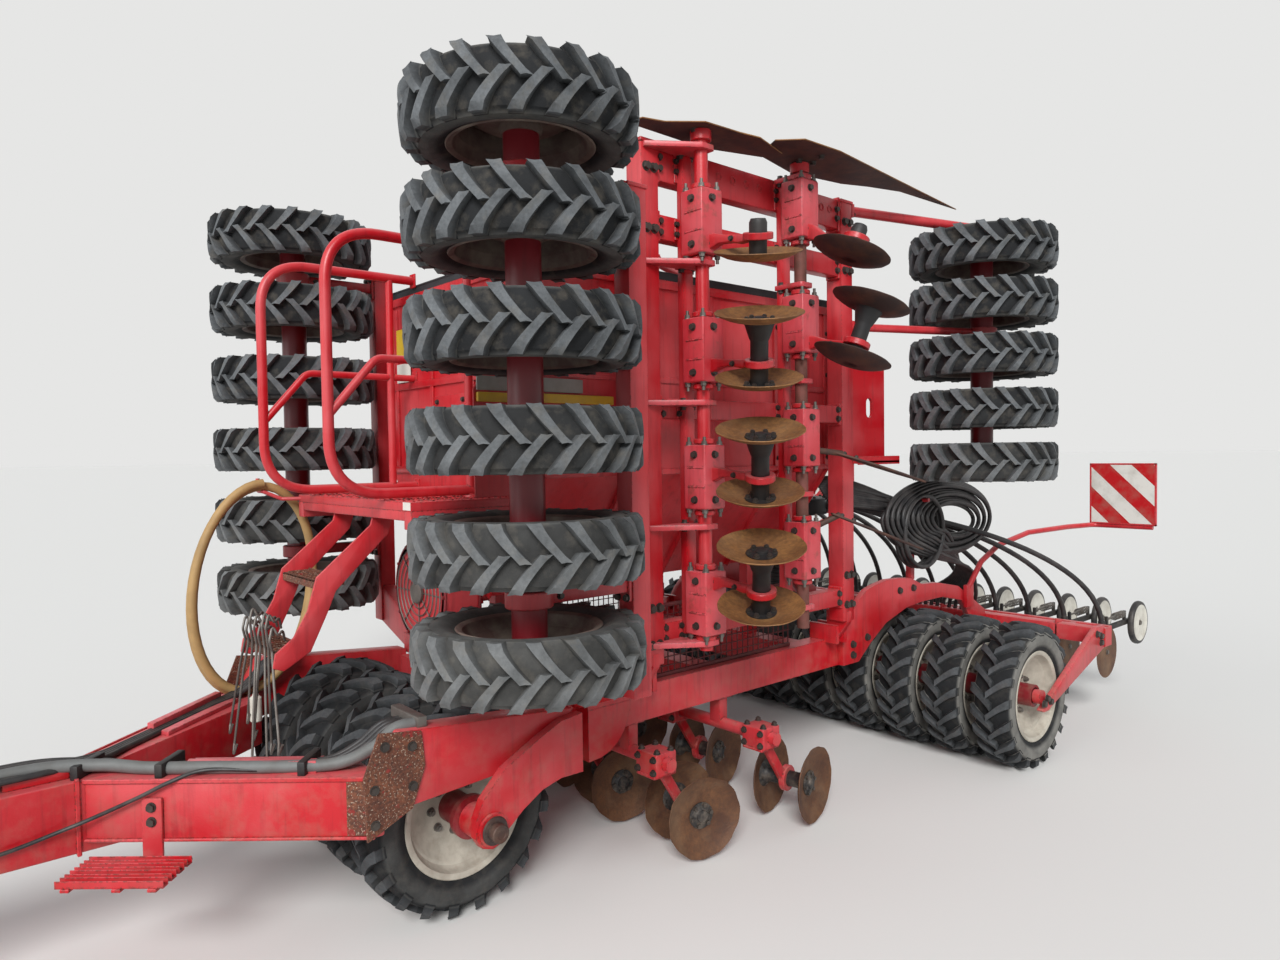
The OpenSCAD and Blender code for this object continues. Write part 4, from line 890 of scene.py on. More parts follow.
class DRILL_OT_wing_discs(bpy.types.Operator):
    """Dished discs of the folded wings with their hubs and bolts, and the levelling blades"""

    bl_idname = "drill.wing_discs"
    bl_label = "Wing discs"

    def execute(self, context):
        disc = disc_form(0.035)
        hub = lathe([(0, -100), (34, -100), (37, -92), (37, 92), (42, 101), (60, 156), (66, 163), (66, 165),
                     (0, 165)], 48, closed=False)
        short_hub = lathe([(0, -100), (34, -100), (37, -92), (37, 52), (30, 68), (0, 70)], 40, closed=False)
        cap = lathe([(0, 0), (62, 0), (64, 2), (64, 5), (40, 7), (27, 9), (26, 16), (20, 19), (0, 19)],
                    40, closed=False)
        bolt = hex_bolt(19, 10, 6)
        discs, dark, hubs, bolts = [], [], [], []
        for back, tilt, _, arms, _ in WING_BARS:
            for index, arm in enumerate(arms):
                if not arm:
                    continue
                stand = tilted(-back, arm[0], tilt)
                seats = [stand @ Matrix.Translation((0, 0, -0.100))]
                hubs.append((short_hub if index == 3 else hub, stand))
                if index < 3:
                    seats.append(stand @ Matrix.Translation((0, 0, 0.165)))
                for seat in seats:
                    # Discs on the rear bar take the dark rusted finish: rusted steel, and its darkness is
                    # painted shade for the shade under the deflectors.
                    (discs if back == FRONT_BAR else dark).append((disc, seat))
                    hubs.append((cap, seat @ Matrix.Translation((0, 0, 0.0055))))
                    for k in range(6):
                        bolts.append((bolt, seat @ Matrix.Rotation(math.tau * k / 6 + 0.3, 4, "Z")
                                      @ Matrix.Translation((0.052, 0, 0.010))))
        leaf = plate([(-10, -14), (0, -20), (70, -46), (200, -60), (360, -46), (500, -6), (500, 6), (360, 46),
                      (200, 60), (70, 46), (0, 20), (-10, 14)], 10, 2, 2)
        for root, front, heading, fall in BLADES:
            lie = (Matrix.Translation(spot(*front)) @ Matrix.Rotation(math.radians(heading), 4, "Z")
                   @ Matrix.Rotation(math.radians(fall), 4, "Y"))
            dark.append((leaf, lie @ Matrix.Translation((0, 0, -0.010))))
            dark.append(block((-1835, 905, root - 28), (-1785, 955, root + 28), 4, 2))
            tip = spot(front[0] - 30, front[1] + 15, front[2] - 8)
            dark.append(pipe((spot(-1815, BAR_SIDE, root), tip), 15, 20))
            for x in (45, 110):
                bolts.append((bolt, lie @ Matrix.Translation((x / 1000, 0, 0))))
        both_wings("%s_wing_discs", discs, "ochre", "%s_wing", ("%s_discs",), angle=40.0)
        # On the rear bar's discs the darkness of this finish is painted shade.
        both_wings("%s_rear_discs", dark, "dark_rust_and_shade", "%s_wing", angle=40.0)
        both_wings("%s_disc_hubs", hubs, "iron", "%s_wing", angle=30.0)
        both_wings("%s_disc_bolts", bolts, "dark_bolt", "%s_wing", angle=25.0)
        return {"FINISHED"}


class DRILL_OT_wing_frames(bpy.types.Operator):
    """Posts, beams, rails, gussets and packer arms of the folded wings"""

    bl_idname = "drill.wing_frames"
    bl_label = "Wing frames"

    def execute(self, context):
        bolt, small = hex_bolt(30, 16), hex_bolt(19, 10)
        posts, rails, arms, bolts = [], [], [], []
        lug = plate([(682, 762), (747, 762), (822, 860), (822, 920), (682, 920)], 40, 4, 2)
        for back in WING_POSTS:
            posts.append((slab((-50, 720, 867), (50, 820, 3139), 7, 2), spot(-back, 0, 0)))
            posts.append((lug, across_at(-back - 20)))
            posts.append((slab((-54, 716, 3122), (54, 824, 3138), 2, 1), spot(-back, 0, 0)))
            for z in (960, 1120, 2760, 3020):
                bolts.append((bolt, facing((0, 1, 0), spot(-back + 22, 819, z))))
                bolts.append((bolt, facing((0, 1, 0), spot(-back - 22, 819, z))))
        # Gusset plate behind the rear post, with its long hole
        slot = [(-2548 + 28 * math.cos(a), 2035 + s * 28 + 28 * math.sin(a))
                for s, turn in ((1, 0.0), (-1, math.pi)) for a in (turn + math.pi * k / 8 for k in range(9))]
        bm = bmesh.new()
        corners = ((-2300, 1740), (-2300, 2330), (-2640, 2330), (-2700, 2270), (-2700, 1740))
        outer = [bm.verts.new((x / 1000, 0, z / 1000)) for x, z in corners]
        inner = [bm.verts.new((x / 1000, 0, z / 1000)) for x, z in slot]
        edges = [bm.edges.new(p) for ring in (outer, inner) for p in zip(ring, ring[1:] + ring[:1])]
        bmesh.ops.triangle_fill(bm, use_beauty=True, use_dissolve=True, edges=edges)
        bmesh.ops.solidify(bm, geom=bm.faces[:], thickness=0.014)
        posts.append((kept(bm), Matrix.Translation(spot(0, 760, 0))))
        posts.append(block((-2700, 745, 1722), (-2300, 860, 1739), 3, 2))
        posts.append(block((-2700, 850, 1716), (-2300, 860, 1762), 2, 1))
        for z, half in CROSS_BEAMS:
            rails.append(block((-2212, 735, z - half), (-888, 805, z + half), 6, 2))
            # End plates of the cross beam, each with two bolts beside it
            for x, beside in ((-2204, -2189.92), (-896, -908.08)):
                rails.append(block((x - 8, 728, z - half - 12), (x + 8, 812, z + half + 12), 2, 1))
                for dz in (-24, 24):
                    bolts.append((hex_bolt(24, 12), facing((0, 1, 0), spot(beside, 804, z + dz))))
        for back in (FRONT_BAR, REAR_BAR):
            rails.append((slab((-30, 805, 955), (30, 845, 3139), 5, 2), spot(-back, 0, 0)))
            for z, half in CROSS_BEAMS:
                pad = slab((-48, 803, z - half + 7), (48, 813, z + half - 7), 2, 1)
                rails.append((pad, spot(-back, 0, 0)))
                for s in (-1, 1):
                    bolts.append((small, facing((0, 1, 0), spot(-back + 39 * s, 812, z + 22))))
                    bolts.append((small, facing((0, 1, 0), spot(-back + 39 * s, 812, z - 22))))
        # Lips of the holes along the top beam
        eyelet = lathe([(13, 0), (19, 0), (20, 1.5), (19, 3), (13, 3)], 28)
        for k in range(5):
            for x in (-1190 - k * 95, -1850 - k * 70):
                rails.append((eyelet, facing((0, 1, 0), spot(x, 804, 3070))))
        ring = lathe([(63, -22), (80, -22), (84, -18), (84, 18), (80, 22), (63, 22)], 48)
        for z, foot_z, radius in ((2470, 2470, 22), (3061.5, 3100, 27)):
            # The tube starts at the skin of the ring, a twelfth of its way from the axle
            root = spot(-3080, 1089.7, z + (foot_z - z) * 0.085)
            arms.append(pipe((root, spot(-2324, 780, foot_z)), radius, 24))
            arms.append(block((-2334, 730, foot_z - 40), (-2310, 820, foot_z + 30), 3, 2))
            arms.append((ring, spot(REAR_AXLE, 1120, z)))
            for y in (744, 806):
                bolts.append((hex_bolt(22, 10), facing((-1, 0, 0), spot(-2334, y, foot_z - 24))))
        both_wings("%s_posts", posts, "red", "%s_wing", ("%s_wing_posts",))
        both_wings("%s_rails", rails, "red", "%s_wing", ("%s_wing_beams", "%s_wing_rails"))
        both_wings("%s_arms", arms, "red", "%s_wing", ("%s_packer_arms",))
        both_wings("%s_frame_bolts", bolts, "dark_bolt", "%s_wing", angle=25.0)
        return {"FINISHED"}


class DRILL_OT_front_frames(bpy.types.Operator):
    """Beams behind the front packer stacks with their bearing arms and pivot brackets"""

    bl_idname = "drill.front_frames"
    bl_label = "Front frames"

    def execute(self, context):
        red, bolts = [], []
        red.append(block((-525, 1055, 864), (-435, 1145, 2802), 7, 2))
        red.append(block((-530, 1050, 2786), (-430, 1150, 2801), 2, 1))
        ring = lathe([(63, -30), (80, -30), (84, -26), (84, 26), (80, 30), (63, 30)], 48)
        for z in (1298.5, 2742.5):
            red.append((ring, spot(0, 1100, z)))
            red.append(block((-480, 1070, z - 25), (-74, 1130, z + 25), 5, 2))
            red.append(block((-436, 1062, z - 60), (-420, 1138, z + 60), 3, 1))
            for a, b in CORNERS:
                bolts.append((hex_bolt(22, 11), facing((1, 0, 0), spot(-421, 1100 + 26 * a, z + 46 * b))))
            for s in (-1, 1):
                bolts.append((hex_bolt(19, 10), facing((0, s, 0), spot(-110, 1100 + 30 * s, z))))
        bracket = [(645, 749), (760, 749), (1145, 884), (1145, 1064), (1055, 1064), (645, 864)]
        red.append((plate(bracket, 70, 5, 2), across_at(-515)))
        both_wings("front_%s_beam", red, "red", "front_%s_wing", ("front_%s_frame",))
        both_wings("front_%s_beam_bolts", bolts, "dark_bolt", "front_%s_wing", angle=25.0)
        return {"FINISHED"}


# Deflector sheets on a folded wing: outline seen from above, and height of the underside
FRONT_SHEET = (((-730, 800), (-750, 880), (-850, 907), (-985, 1013), (-1190, 1023), (-1304, 1039),
                (-1539, 970), (-1500, 880), (-1200, 790)), 3185.3)
REAR_SHEET = (((-1394, 1050), (-1489, 1143), (-1741, 1151), (-2118, 1108), (-3080, 1000), (-2514, 986),
               (-2301, 927), (-2141, 864), (-1800, 810), (-1480, 880)), 3191.0)
SHEET_THICK = 5.4


class DRILL_OT_deflectors(bpy.types.Operator):
    """Bent sheet deflectors that stand on top of the folded wings"""

    bl_idname = "drill.deflectors"
    bl_label = "Deflectors"

    def execute(self, context):
        sheets, edges, bolts = [], [], []
        for (outline, base), seats in ((FRONT_SHEET, ((-1000, BAR_SIDE), (-1080, BAR_SIDE))),
                                       (REAR_SHEET, ((-1680, 960), (-1760, 980), (-1720, 1060)))):
            middle = base + SHEET_THICK / 2
            sheets.append((plate(outline, SHEET_THICK, 1.2, 1), spot(0, 0, base)))
            for (x1, y1), (x2, y2) in zip(outline, outline[1:-2]):
                edges.append(pipe((spot(x1, y1, middle), spot(x2, y2, middle)), 3, 10))
            for x, y in seats:
                bolts.append((hex_bolt(24, 12), facing((0, 0, -1), spot(x, y, base))))
        both_wings("%s_deflector_edges", edges, "ochre", "%s_wing")
        both_wings("%s_deflector_sheets", sheets, "dark_rust_and_shade", "%s_wing", ("%s_deflectors",))
        both_wings("%s_deflector_bolts", bolts, "dark_bolt", "%s_wing", angle=25.0)
        return {"FINISHED"}


class DRILL_OT_drawbar(bpy.types.Operator):
    """Drawbar beams and nose with their rusted gussets, the step, the jack and the hitch"""

    bl_idname = "drill.drawbar"
    bl_label = "Drawbar"

    def execute(self, context):
        red, rust, bolts = [], [], []
        top = [(1180, 120), (1060, 120), (1060, 30), (400, 500), (400, 790), (430, 790)]
        red.append((plate(top, 210, 9, 2), spot(0, 0, 490)))
        rise = [(420, 490), (420, 700), (340, 838), (-405, 770), (-405, 605), (370, 560)]
        red.append((plate(rise, 100, 7, 2), side_at(790)))
        # Flange strips welded on the outer face, above and below
        slope = math.atan2(790 - 120, 430 - 1180)
        along = Matrix.Translation(spot(1180, 120, 0)) @ Matrix.Rotation(slope, 4, "Z")
        red.append((slab((0, -9, 688), (1000, 1, 704), 3, 1), along))
        red.append((slab((0, -9, 487), (1000, 1, 497), 3, 1), along))
        # Bracket plate that the step hangs from
        red.append((slab((205, -14, 420), (275, -1, 640), 4, 2), along))
        for z in (610, 560):
            bolts.append((hex_bolt(24, 10), along @ facing((0, -1, 0), Vector((0.240, -0.014, z / 1000)))))
        # Knee gusset: a heavily rusted plate over the joint of the two beams
        gusset = [(468, 486), (478, 704), (420, 850), (262, 826), (250, 700), (300, 560)]
        rust.append((plate(gusset, 10, 2, 1), side_at(801)))
        rust.append((slab((905, -6, 500), (985, 2, 690), 2, 1), along))
        for x, z in ((440, 540), (440, 660), (300, 640), (300, 780), (400, 800)):
            bolts.append((hex_bolt(24, 9), facing((0, 1, 0), spot(x, 801, z))))
        make_piece("drawbar_beams_welded", red, "red", "machine", ("drawbar_beams",),
                   mirror=True)
        make_piece("knee_gussets", rust, "rust", "machine", mirror=True)
        make_piece("drawbar_bolts", bolts, "dark_bolt", "machine", angle=25.0, mirror=True)

        nose = [block((1060, -120, 450), (2380, 120, 700), 9, 3),
                block((2376, -60, 515), (2520, 60, 605), 6, 2)]
        nose += [block((x, -128, 442), (x + 14, 128, 708), 3, 1) for x in (1190, 1560, 2360)]
        nose += [block((1500, -90, 699), (1900, 90, 712), 3, 1),
                 block((1210, -70, 699), (1400, 70, 740), 8, 2)]
        make_piece("drawbar_nose_welded", nose, "red", "machine", ("drawbar_nose",))
        eye = lathe([(25, -23), (27, -25), (54, -25), (60, -19), (60, 19), (54, 25), (27, 25), (25, 23)], 64)
        hitch = [(eye, spot(2580, 0, 560)), block((2512, -48, 536), (2548, 48, 584), 5, 2)]
        make_piece("hitch_eye_forged", hitch, "zinc", "machine", ("hitch_eye",))

        # Step: four planks of toothed grating on three bearers, out from the left beam
        step = []
        outward = along @ Matrix.Scale(-1, 4, (0, 1, 0))
        for y in (40, 88, 136, 184):
            step.append((slab((40, y, 430), (390, y + 30, 434), 1.5, 1), outward))
            for edge in (y, y + 26):
                step.append((slab((40, edge, 430), (390, edge + 4, 455), 1, 1), outward))
            for x in range(52, 388, 21):
                step.append((slab((x, y + 7, 433), (x + 9, y + 23, 440), 2, 1), outward))
        for x in (60, 225, 340):
            step.append((slab((x, 0, 420), (x + 30, 220, 431), 2, 1), outward))
        make_piece("drawbar_step_grating", step, "step", "machine", ("drawbar_step",))

        # Jack: outer tube with its bracket and clamping rings, inner tube with a round foot
        jack = spot(2000, 170, 0)
        sleeve = [(lathe([(31.5, 380), (40, 380), (42, 384), (42, 852), (39, 860), (31.5, 860)], 40), jack),
                  block((1965, 118, 520), (2035, 150, 640), 5, 2)]
        for z in (500, 632):
            sleeve.append((lathe([(41, z), (52, z + 4), (52, z + 24), (41, z + 28)], 40), jack))
        make_piece("jack_sleeve_tube", sleeve, "red", "machine", ("jack_sleeve",))
        foot = [(0, 4), (92, 4), (104, 0), (110, 6), (106, 12), (60, 18), (40, 20), (0, 20)]
        leg = [(lathe([(0, 10), (26, 10), (30, 14), (30, 786), (26, 790), (0, 790)], 40, closed=False), jack),
               (lathe(foot, 48, closed=False), jack)]
        make_piece("jack_leg_tube", leg, "zinc", "stand", ("jack_leg",))
        return {"FINISHED"}


# Bars of the centre section: place behind the axle, rows of discs, heading of the discs
CENTRE_BARS = (
    (840, (-810, -270, 270, 810), -15),
    (1430, (-900, -300, 300, 900), 12),
)


class DRILL_OT_centre_section(bpy.types.Operator):
    """Disc section under the chassis: bars, housings, trailing arms and dished discs"""

    bl_idname = "drill.centre_section"
    bl_label = "Centre section"

    def execute(self, context):
        disc = disc_form(0.06)
        bolt = hex_bolt(22, 11, 8)
        cap = lathe([(0, 0), (58, 0), (58, 6), (38, 9), (28, 14), (25, 20), (0, 22)], 40, closed=False)
        small = hex_bolt(17, 9)
        hub = lathe([(0, -124), (64, -124), (66, -118), (44, -100), (37, -84), (37, 84), (44, 96), (66, 108),
                     (0, 109)], 40, closed=False)
        ring = lathe([(39, -16), (58, -16), (62, -12), (62, 12), (58, 16), (39, 16)], 40)
        red, discs, hubs, bolts = [], [], [], []
        for back, rows, steer in CENTRE_BARS:
            last = rows[-1] + 100
            red.append(pipe((spot(-back, -last, 450), spot(-back, last, 450)), 30, 28))
            for s in (-1, 1):
                low_y, high_y = sorted((s * 590, s * 660))
                red.append((slab((-28, low_y, 452), (28, high_y, 589), 5, 2), spot(-back, 0, 0)))
                red.append((slab((-60, low_y - 10, 576), (60, high_y + 10, 589), 3, 1), spot(-back, 0, 0)))
            for y in rows:
                red.append((slab((-60, -68, 398), (60, 68, 500), 8, 3), spot(-back, y, 0)))
                red.append((slab((-64, -60, 392), (64, 60, 404), 3, 1), spot(-back, y, 0)))
                red.append((plate([(0, 405), (0, 490), (-150, 255), (-220, 225), (-220, 165), (-150, 175)],
                                  32, 6, 2), side_at(y + 16, -back)))
                centre = (Matrix.Translation(spot(-back - 190, y, 195))
                          @ Matrix.Rotation(math.radians(steer if y > 0 else -steer), 4, "Z"))
                lying = centre @ Matrix.Rotation(math.radians(-90), 4, "X")
                red.append((ring, lying))
                for a, b in CORNERS:
                    bolts.append((bolt, Matrix.Translation(spot(-back + 40 * a, y + 50 * b, 499))))
                    bolts.append((bolt, facing((1, 0, 0), spot(-back + 59, y + 50 * b, 449 + 28 * a))))
                hubs.append((hub, lying))
                for offset in (-125, 110):
                    seat = lying @ Matrix.Translation((0, 0, offset / 1000))
                    discs.append((disc, seat))
                    hubs.append((cap, seat @ Matrix.Translation((0, 0, 0.0055))))
                    for k in range(6):
                        bolts.append((small, seat @ Matrix.Rotation(math.tau * k / 6 + 0.2, 4, "Z")
                                      @ Matrix.Translation((0.047, 0, 0.010))))
        make_piece("centre_bars", red, "red", "machine", ("centre_disc_bars",))
        make_piece("centre_dished_discs", discs, "worn", "machine", ("centre_discs",),
                   angle=40.0)
        make_piece("centre_hubs", hubs, "iron", "machine")
        make_piece("centre_bolts", bolts, "dark_bolt", "machine", angle=25.0)
        return {"FINISHED"}


def coulter_side(index):
    """How far to the left a coulter stands, in mm, counted from the right."""
    return (index - (COULTER_COUNT - 1) / 2) * COULTER_PITCH


class DRILL_OT_rear_section(bpy.types.Operator):
    """Rear arms, the coulter bar, coulters, press wheels and warning boards"""

    bl_idname = "drill.rear_section"
    bl_label = "Rear section"

    def execute(self, context):
        red, bolts = [], []
        arm = [(-2330, 590), (-2330, 750), (-2410, 870), (-2500, 954), (-2560, 990), (-2640, 1010),
               (-2770, 1028), (-2900, 1024), (-3030, 1012), (-3160, 960), (-3340, 950), (-3600, 900),
               (-3960, 700), (-3960, 560), (-3850, 560), (-3640, 800), (-3400, 850), (-3160, 850),
               (-2980, 835), (-2760, 773), (-2600, 680), (-2480, 590)]
        red.append((plate(arm, 40, 5, 2), side_at(730)))
        red.append(block((-3070, 690, 1000), (-3030, 730, 1510), 5, 2))
        red.append(pipe((spot(-3050, 725, 1490), spot(-3050, 838, 1490)), 12, 20))
        outer = [(-3090, 344), (-3120, 330), (-3180, 330), (-3210, 344), (-3960, 560), (-3960, 700),
                 (-3850, 700)]
        red.append((plate(outer, 35, 5, 2), side_at(1495)))
        red.append(pipe((spot(REAR_AXLE, 1392.5, AXLE_Z), spot(REAR_AXLE, 1470, AXLE_Z)), 40, 32))
        for x, z in ((-2420, 700), (-2420, 640), (-2560, 720), (-3880, 640), (-3880, 600), (-3050, 950),
                     (-2900, 950)):
            bolts.append((hex_bolt(30, 14), facing((0, 1, 0), spot(x, 729, z))))
        for x, z in ((-3900, 640), (-3900, 600), (-3840, 660), (-3150, 404), (-3110, 380), (-3190, 380)):
            bolts.append((hex_bolt(30, 14), facing((0, 1, 0), spot(x, 1494, z))))
        make_piece("rear_arm_plates", red, "red", "machine", ("rear_arms",), mirror=True)
        make_piece("rear_arm_bolts", bolts, "dark_bolt", "machine", angle=25.0, mirror=True)

        bar = [block((-4050, -1495, 570), (-3960, 1495, 670), 7, 2),
               block((-4280, -1420, 600), (-4240, 1420, 640), 4, 2)]
        for y in (-1200, -400, 400, 1200):
            bar.append(block((-4250, y - 20, 600), (-4040, y + 20, 640), 4, 2))
            web = [(-4060, 670), (-3960, 700), (-3960, 560), (-4060, 560)]
            bar.append((plate(web, 12, 2, 1), side_at(y + 6)))
        for s in (-1, 1):
            bar.append(block((-4056, s * 1495 - 5, 562), (-3954, s * 1495 + 5, 678), 2, 1))
        make_piece("coulter_bar_welded", bar, "red", "machine", ("coulter_bar",))

        iron, rubber, moulded, steel, small = [], [], [], [], []
        spring = tube([Vector((-0.12 + 0.0022 * k, 0.022 * math.cos(k * 0.62), 0.022 * math.sin(k * 0.62)))
                       for k in range(72)], 3.5, 6)
        wheel = lathe([(20, 6), (30, 2), (60, 8), (100, 8), (118, 2), (126, 0), (126, 40), (118, 38),
                       (100, 32), (60, 32), (30, 38), (20, 34)], 48)
        tyre = lathe([(124, 1), (136, 0), (146, 5), (150, 14), (150, 26), (146, 35), (136, 40),
                      (124, 39)], 48)
        shank = plate([(0, 500), (0, 600), (-260, 600), (-260, 480), (-190, 430), (-120, 440)], 24, 5, 2)
        spout = lathe([(12, 0), (22, 0), (22, 40), (18, 44), (12, 44)], 24)
        disc = lathe([(0, 0), (60, 0), (165, 4), (170, 5.2), (165, 6), (0, 6)], 56, closed=False)
        for i in range(COULTER_COUNT):
            at = spot(COULTER_LINE, coulter_side(i), 0)
            iron.append((shank, Matrix.Translation(at + Vector((0, 0.012, 0))) @ ON_SIDE))
            iron.append((slab((-700, -12, 562), (-240, 12, 598), 5, 2), at))
            iron.append((slab((-96, -18, 570), (-30, 18, 622), 6, 2), at))
            iron.append((spout, at + Vector((-0.12, 0, 0.598))))
            steel.append((disc, facing((0, 1, 0), at + Vector((-0.160, 0.0122, 0.430)))))
            small.append((hex_bolt(24, 8), facing((0, 1, 0), at + Vector((-0.160, 0.018, 0.430)))))
            small.append((spring, Matrix.Translation(at + Vector((-0.36, 0, 0.640)))))
            small.append(pipe((at + Vector((-0.5, 0, 0.64)), at + Vector((-0.2, 0, 0.64))), 7, 12))
            iron.append((slab((-520, -10, 590), (-500, 10, 660), 3, 1), at))
            iron.append((slab((-210, -10, 590), (-190, 10, 660), 3, 1), at))
            seat = facing((0, 1, 0), at + Vector((-0.670, 0.0123, 0.560)))
            moulded.append((wheel, seat))
            rubber.append((tyre, seat))
            small.append((hex_bolt(24, 8), facing((0, 1, 0), at + Vector((-0.670, 0.046, 0.560)))))
        make_piece("coulter_bodies", iron, "iron", "machine", ("coulters",))
        make_piece("coulter_discs", steel, "worn", "machine")
        make_piece("coulter_springs", small, "nut", "machine", angle=30.0)
        make_piece("press_wheel_centres", moulded, "white", "machine", ("press_wheels",))
        make_piece("press_wheel_tyres", rubber, "hose", "machine")

        # Warning boards: sheet in a folded frame on a bent tube
        route = filleted([spot(*p) for p in ((-3700, 745, 880), (-3830, 765, 1040), (-4000, 800, 1140),
                                             (-4300, 870, 1210), (-4700, 970, 1228), (-4972, 1040, 1230),
                                             (-4972, 1433, 1230))], 60)
        arms = [pipe(route, 18, 20),
                block((-3745, 731, 750), (-3655, 760, 900), 5, 2),
                block((-4962, 1044, 1238), (-4958, 1439, 1661), 1, 1)]
        for y in (1022, 1449):
            arms.append(block((-4968, y, 1240), (-4950, y + 12, 1679), 2, 1))
        for z in (1240, 1667):
            arms.append(block((-4968, 1022, z), (-4950, 1461, z + 12), 2, 1))
        for y in (1140, 1313):
            arms.append(block((-4975, y, 1225), (-4960, y + 30, 1420), 3, 1))
        make_piece("board_frames", arms, "red", "machine", ("board_arms",), mirror=True)
        sheet = [block((-4957, 1034, 1252), (-4951, 1449, 1667), 1, 1)]
        make_piece("board_sheets", sheet, "board", "machine", ("warning_boards",), mirror=True)
        return {"FINISHED"}


class DRILL_OT_hopper(bpy.types.Operator):
    """Ribs, rims, panels and blank stickers on the hopper, hems on its cover, and the fan's grille"""

    bl_idname = "drill.hopper"
    bl_label = "Hopper"

    def execute(self, context):
        trim, bolts = [], []
        trim.append(block((-2350, HOPPER_SIDE, 2556), (-330, HOPPER_SIDE + 17, 2598), 3, 2))
        trim.append(block((-2346, HOPPER_SIDE, 1694), (-334, HOPPER_SIDE + 11, 1722), 3, 2))
        trim.append(block((-2338, HOPPER_SIDE, 2120), (-342, HOPPER_SIDE + 9, 2150), 3, 2))
        for x in (-352, -850, -1400, -1900, -2328):
            trim.append(block((x - 20, HOPPER_SIDE, 1716), (x + 20, HOPPER_SIDE + 12, 2560), 3, 2))
            lower_rib = [(612, 1700), (640, 1692), (256, 1152), (228, 1164)]
            trim.append((plate(lower_rib, 8, 2, 1), across_at(x - 4)))
            for z in (1760, 1990, 2220, 2450):
                bolts.append((hex_bolt(17, 8), facing((0, 1, 0), spot(x, HOPPER_SIDE + 12, z))))
        make_piece("hopper_ribs", trim, "red", "machine", mirror=True)
        make_piece("hopper_rib_bolts", bolts, "dark_bolt", "machine", angle=25.0, mirror=True)

        face, small = [], []
        for y in (-560, -190, 190, 560):
            face.append(block((HOPPER_FACE, y - 16, 1720), (HOPPER_FACE + 11, y + 16, 2540), 3, 2))
        for z in (1712, 2130, 2556):
            face.append(block((HOPPER_FACE, -604, z), (HOPPER_FACE + 13, 604, z + 34), 3, 2))
        face.append(block((HOPPER_FACE, -150, 1760), (HOPPER_FACE + 15, 150, 2080), 4, 2))
        for y in (-120, 120):
            for z in (1790, 2050):
                small.append((hex_bolt(17, 8), facing((1, 0, 0), spot(-316, y, z))))
        # Cheek plate beside the platform, up to the panels
        cheek = [(-331, 1626), (-96, 1626), (-96, 2060), (-140, 2120), (-331, 2120)]
        face.append((plate(cheek, 8, 2, 1), side_at(586)))
        make_piece("hopper_front_frame", face, "red", "machine")
        make_piece("hopper_front_bolts", small, "dark_bolt", "machine", angle=25.0)
        panels = [block((-600, 630, 2054), (-350, 641, 2112), 3, 2),
                  block((-326, 586, 2054), (-108, 596, 2112), 3, 2)]
        make_piece("side_panels", panels, "grey", "machine")
        bars = [block((-764, 630, 2008), (-350, 648, 2046), 4, 2),
                block((-328, 586, 2008), (-107, 604, 2046), 4, 2)]
        make_piece("side_yellow_bar", bars, "yellow", "machine")
        white = [block((-320, -548, 2168), (-318.6, -400, 2262), 0, 1),
                 block((179.5, 522, 1590), (180.9, 584, 1620), 0, 1)]
        make_piece("sticker_sheet_white", white, "sticker_white", "machine")
        yellow = [block((-320, -548, 2300), (-318.6, -380, 2436), 0, 1)]
        make_piece("sticker_sheet_yellow", yellow, "sticker_yellow", "machine")

        # Cover: hems along its sides and battens across it
        cover = [block((-2358, s * 618 - 8, 2602), (-327, s * 618 + 6, 2640), 4, 2) for s in (-1, 1)]
        cover += [block((x, -612, 2629), (x + 26, 612, 2640), 4, 2)
                  for x in (-2352, -1950, -1550, -1150, -750, -358)]
        make_piece("cover_hems", cover, "cover", "lid")

        # Fan: intake grille of rings on spokes, rim flange and bolts
        grille = []
        for radius in (205, 172, 139, 106, 73):
            ring = lathe([(radius - 3, 0), (radius, 3), (radius + 3, 0), (radius, -3)], 56)
            grille.append((ring, facing((1, 0, 0), spot(-134, 0, FAN_Z))))
        for k in range(4):
            turn = Matrix.Rotation(math.pi * k / 4, 4, "X")
            grille.append((tube((Vector((0, -0.212, 0)), Vector((0, 0.212, 0))), 3, 8),
                           Matrix.Translation(spot(-137, 0, FAN_Z)) @ turn))
        grille.append((lathe([(0, 0), (46, 0), (50, 5), (50, 16), (44, 20), (0, 22)], 40, closed=False),
                       facing((1, 0, 0), spot(-140, 0, FAN_Z))))
        make_piece("fan_grille", grille, "nut", "machine")
        flange = [(lathe([(212, 0), (238, 0), (241, 3), (238, 8), (212, 8)], 72),
                   facing((1, 0, 0), spot(x, 0, FAN_Z))) for x in (-148, -318)]
        for k in range(12):
            turn = Matrix.Rotation(math.tau * k / 12, 4, "X")
            flange.append((hex_bolt(13, 6), Matrix.Translation(spot(-140, 0, FAN_Z)) @ turn
                           @ facing((1, 0, 0), Vector((0, 0.225, 0)))))
        make_piece("fan_flanges", flange, "deep", "machine")
        return {"FINISHED"}


# Wire rods on the ladder's foot: side of the hook, side and height of the lower end,
# and how far that end hangs forward
WIRE_RODS = (
    (-165, -330, 620, 30), (-120, -190, 575, 55), (-70, -150, 700, 10), (-20, 60, 590, 60),
    (30, -40, 660, 20), (80, 190, 575, 45), (125, 120, 640, 5), (165, 300, 690, 35),
)


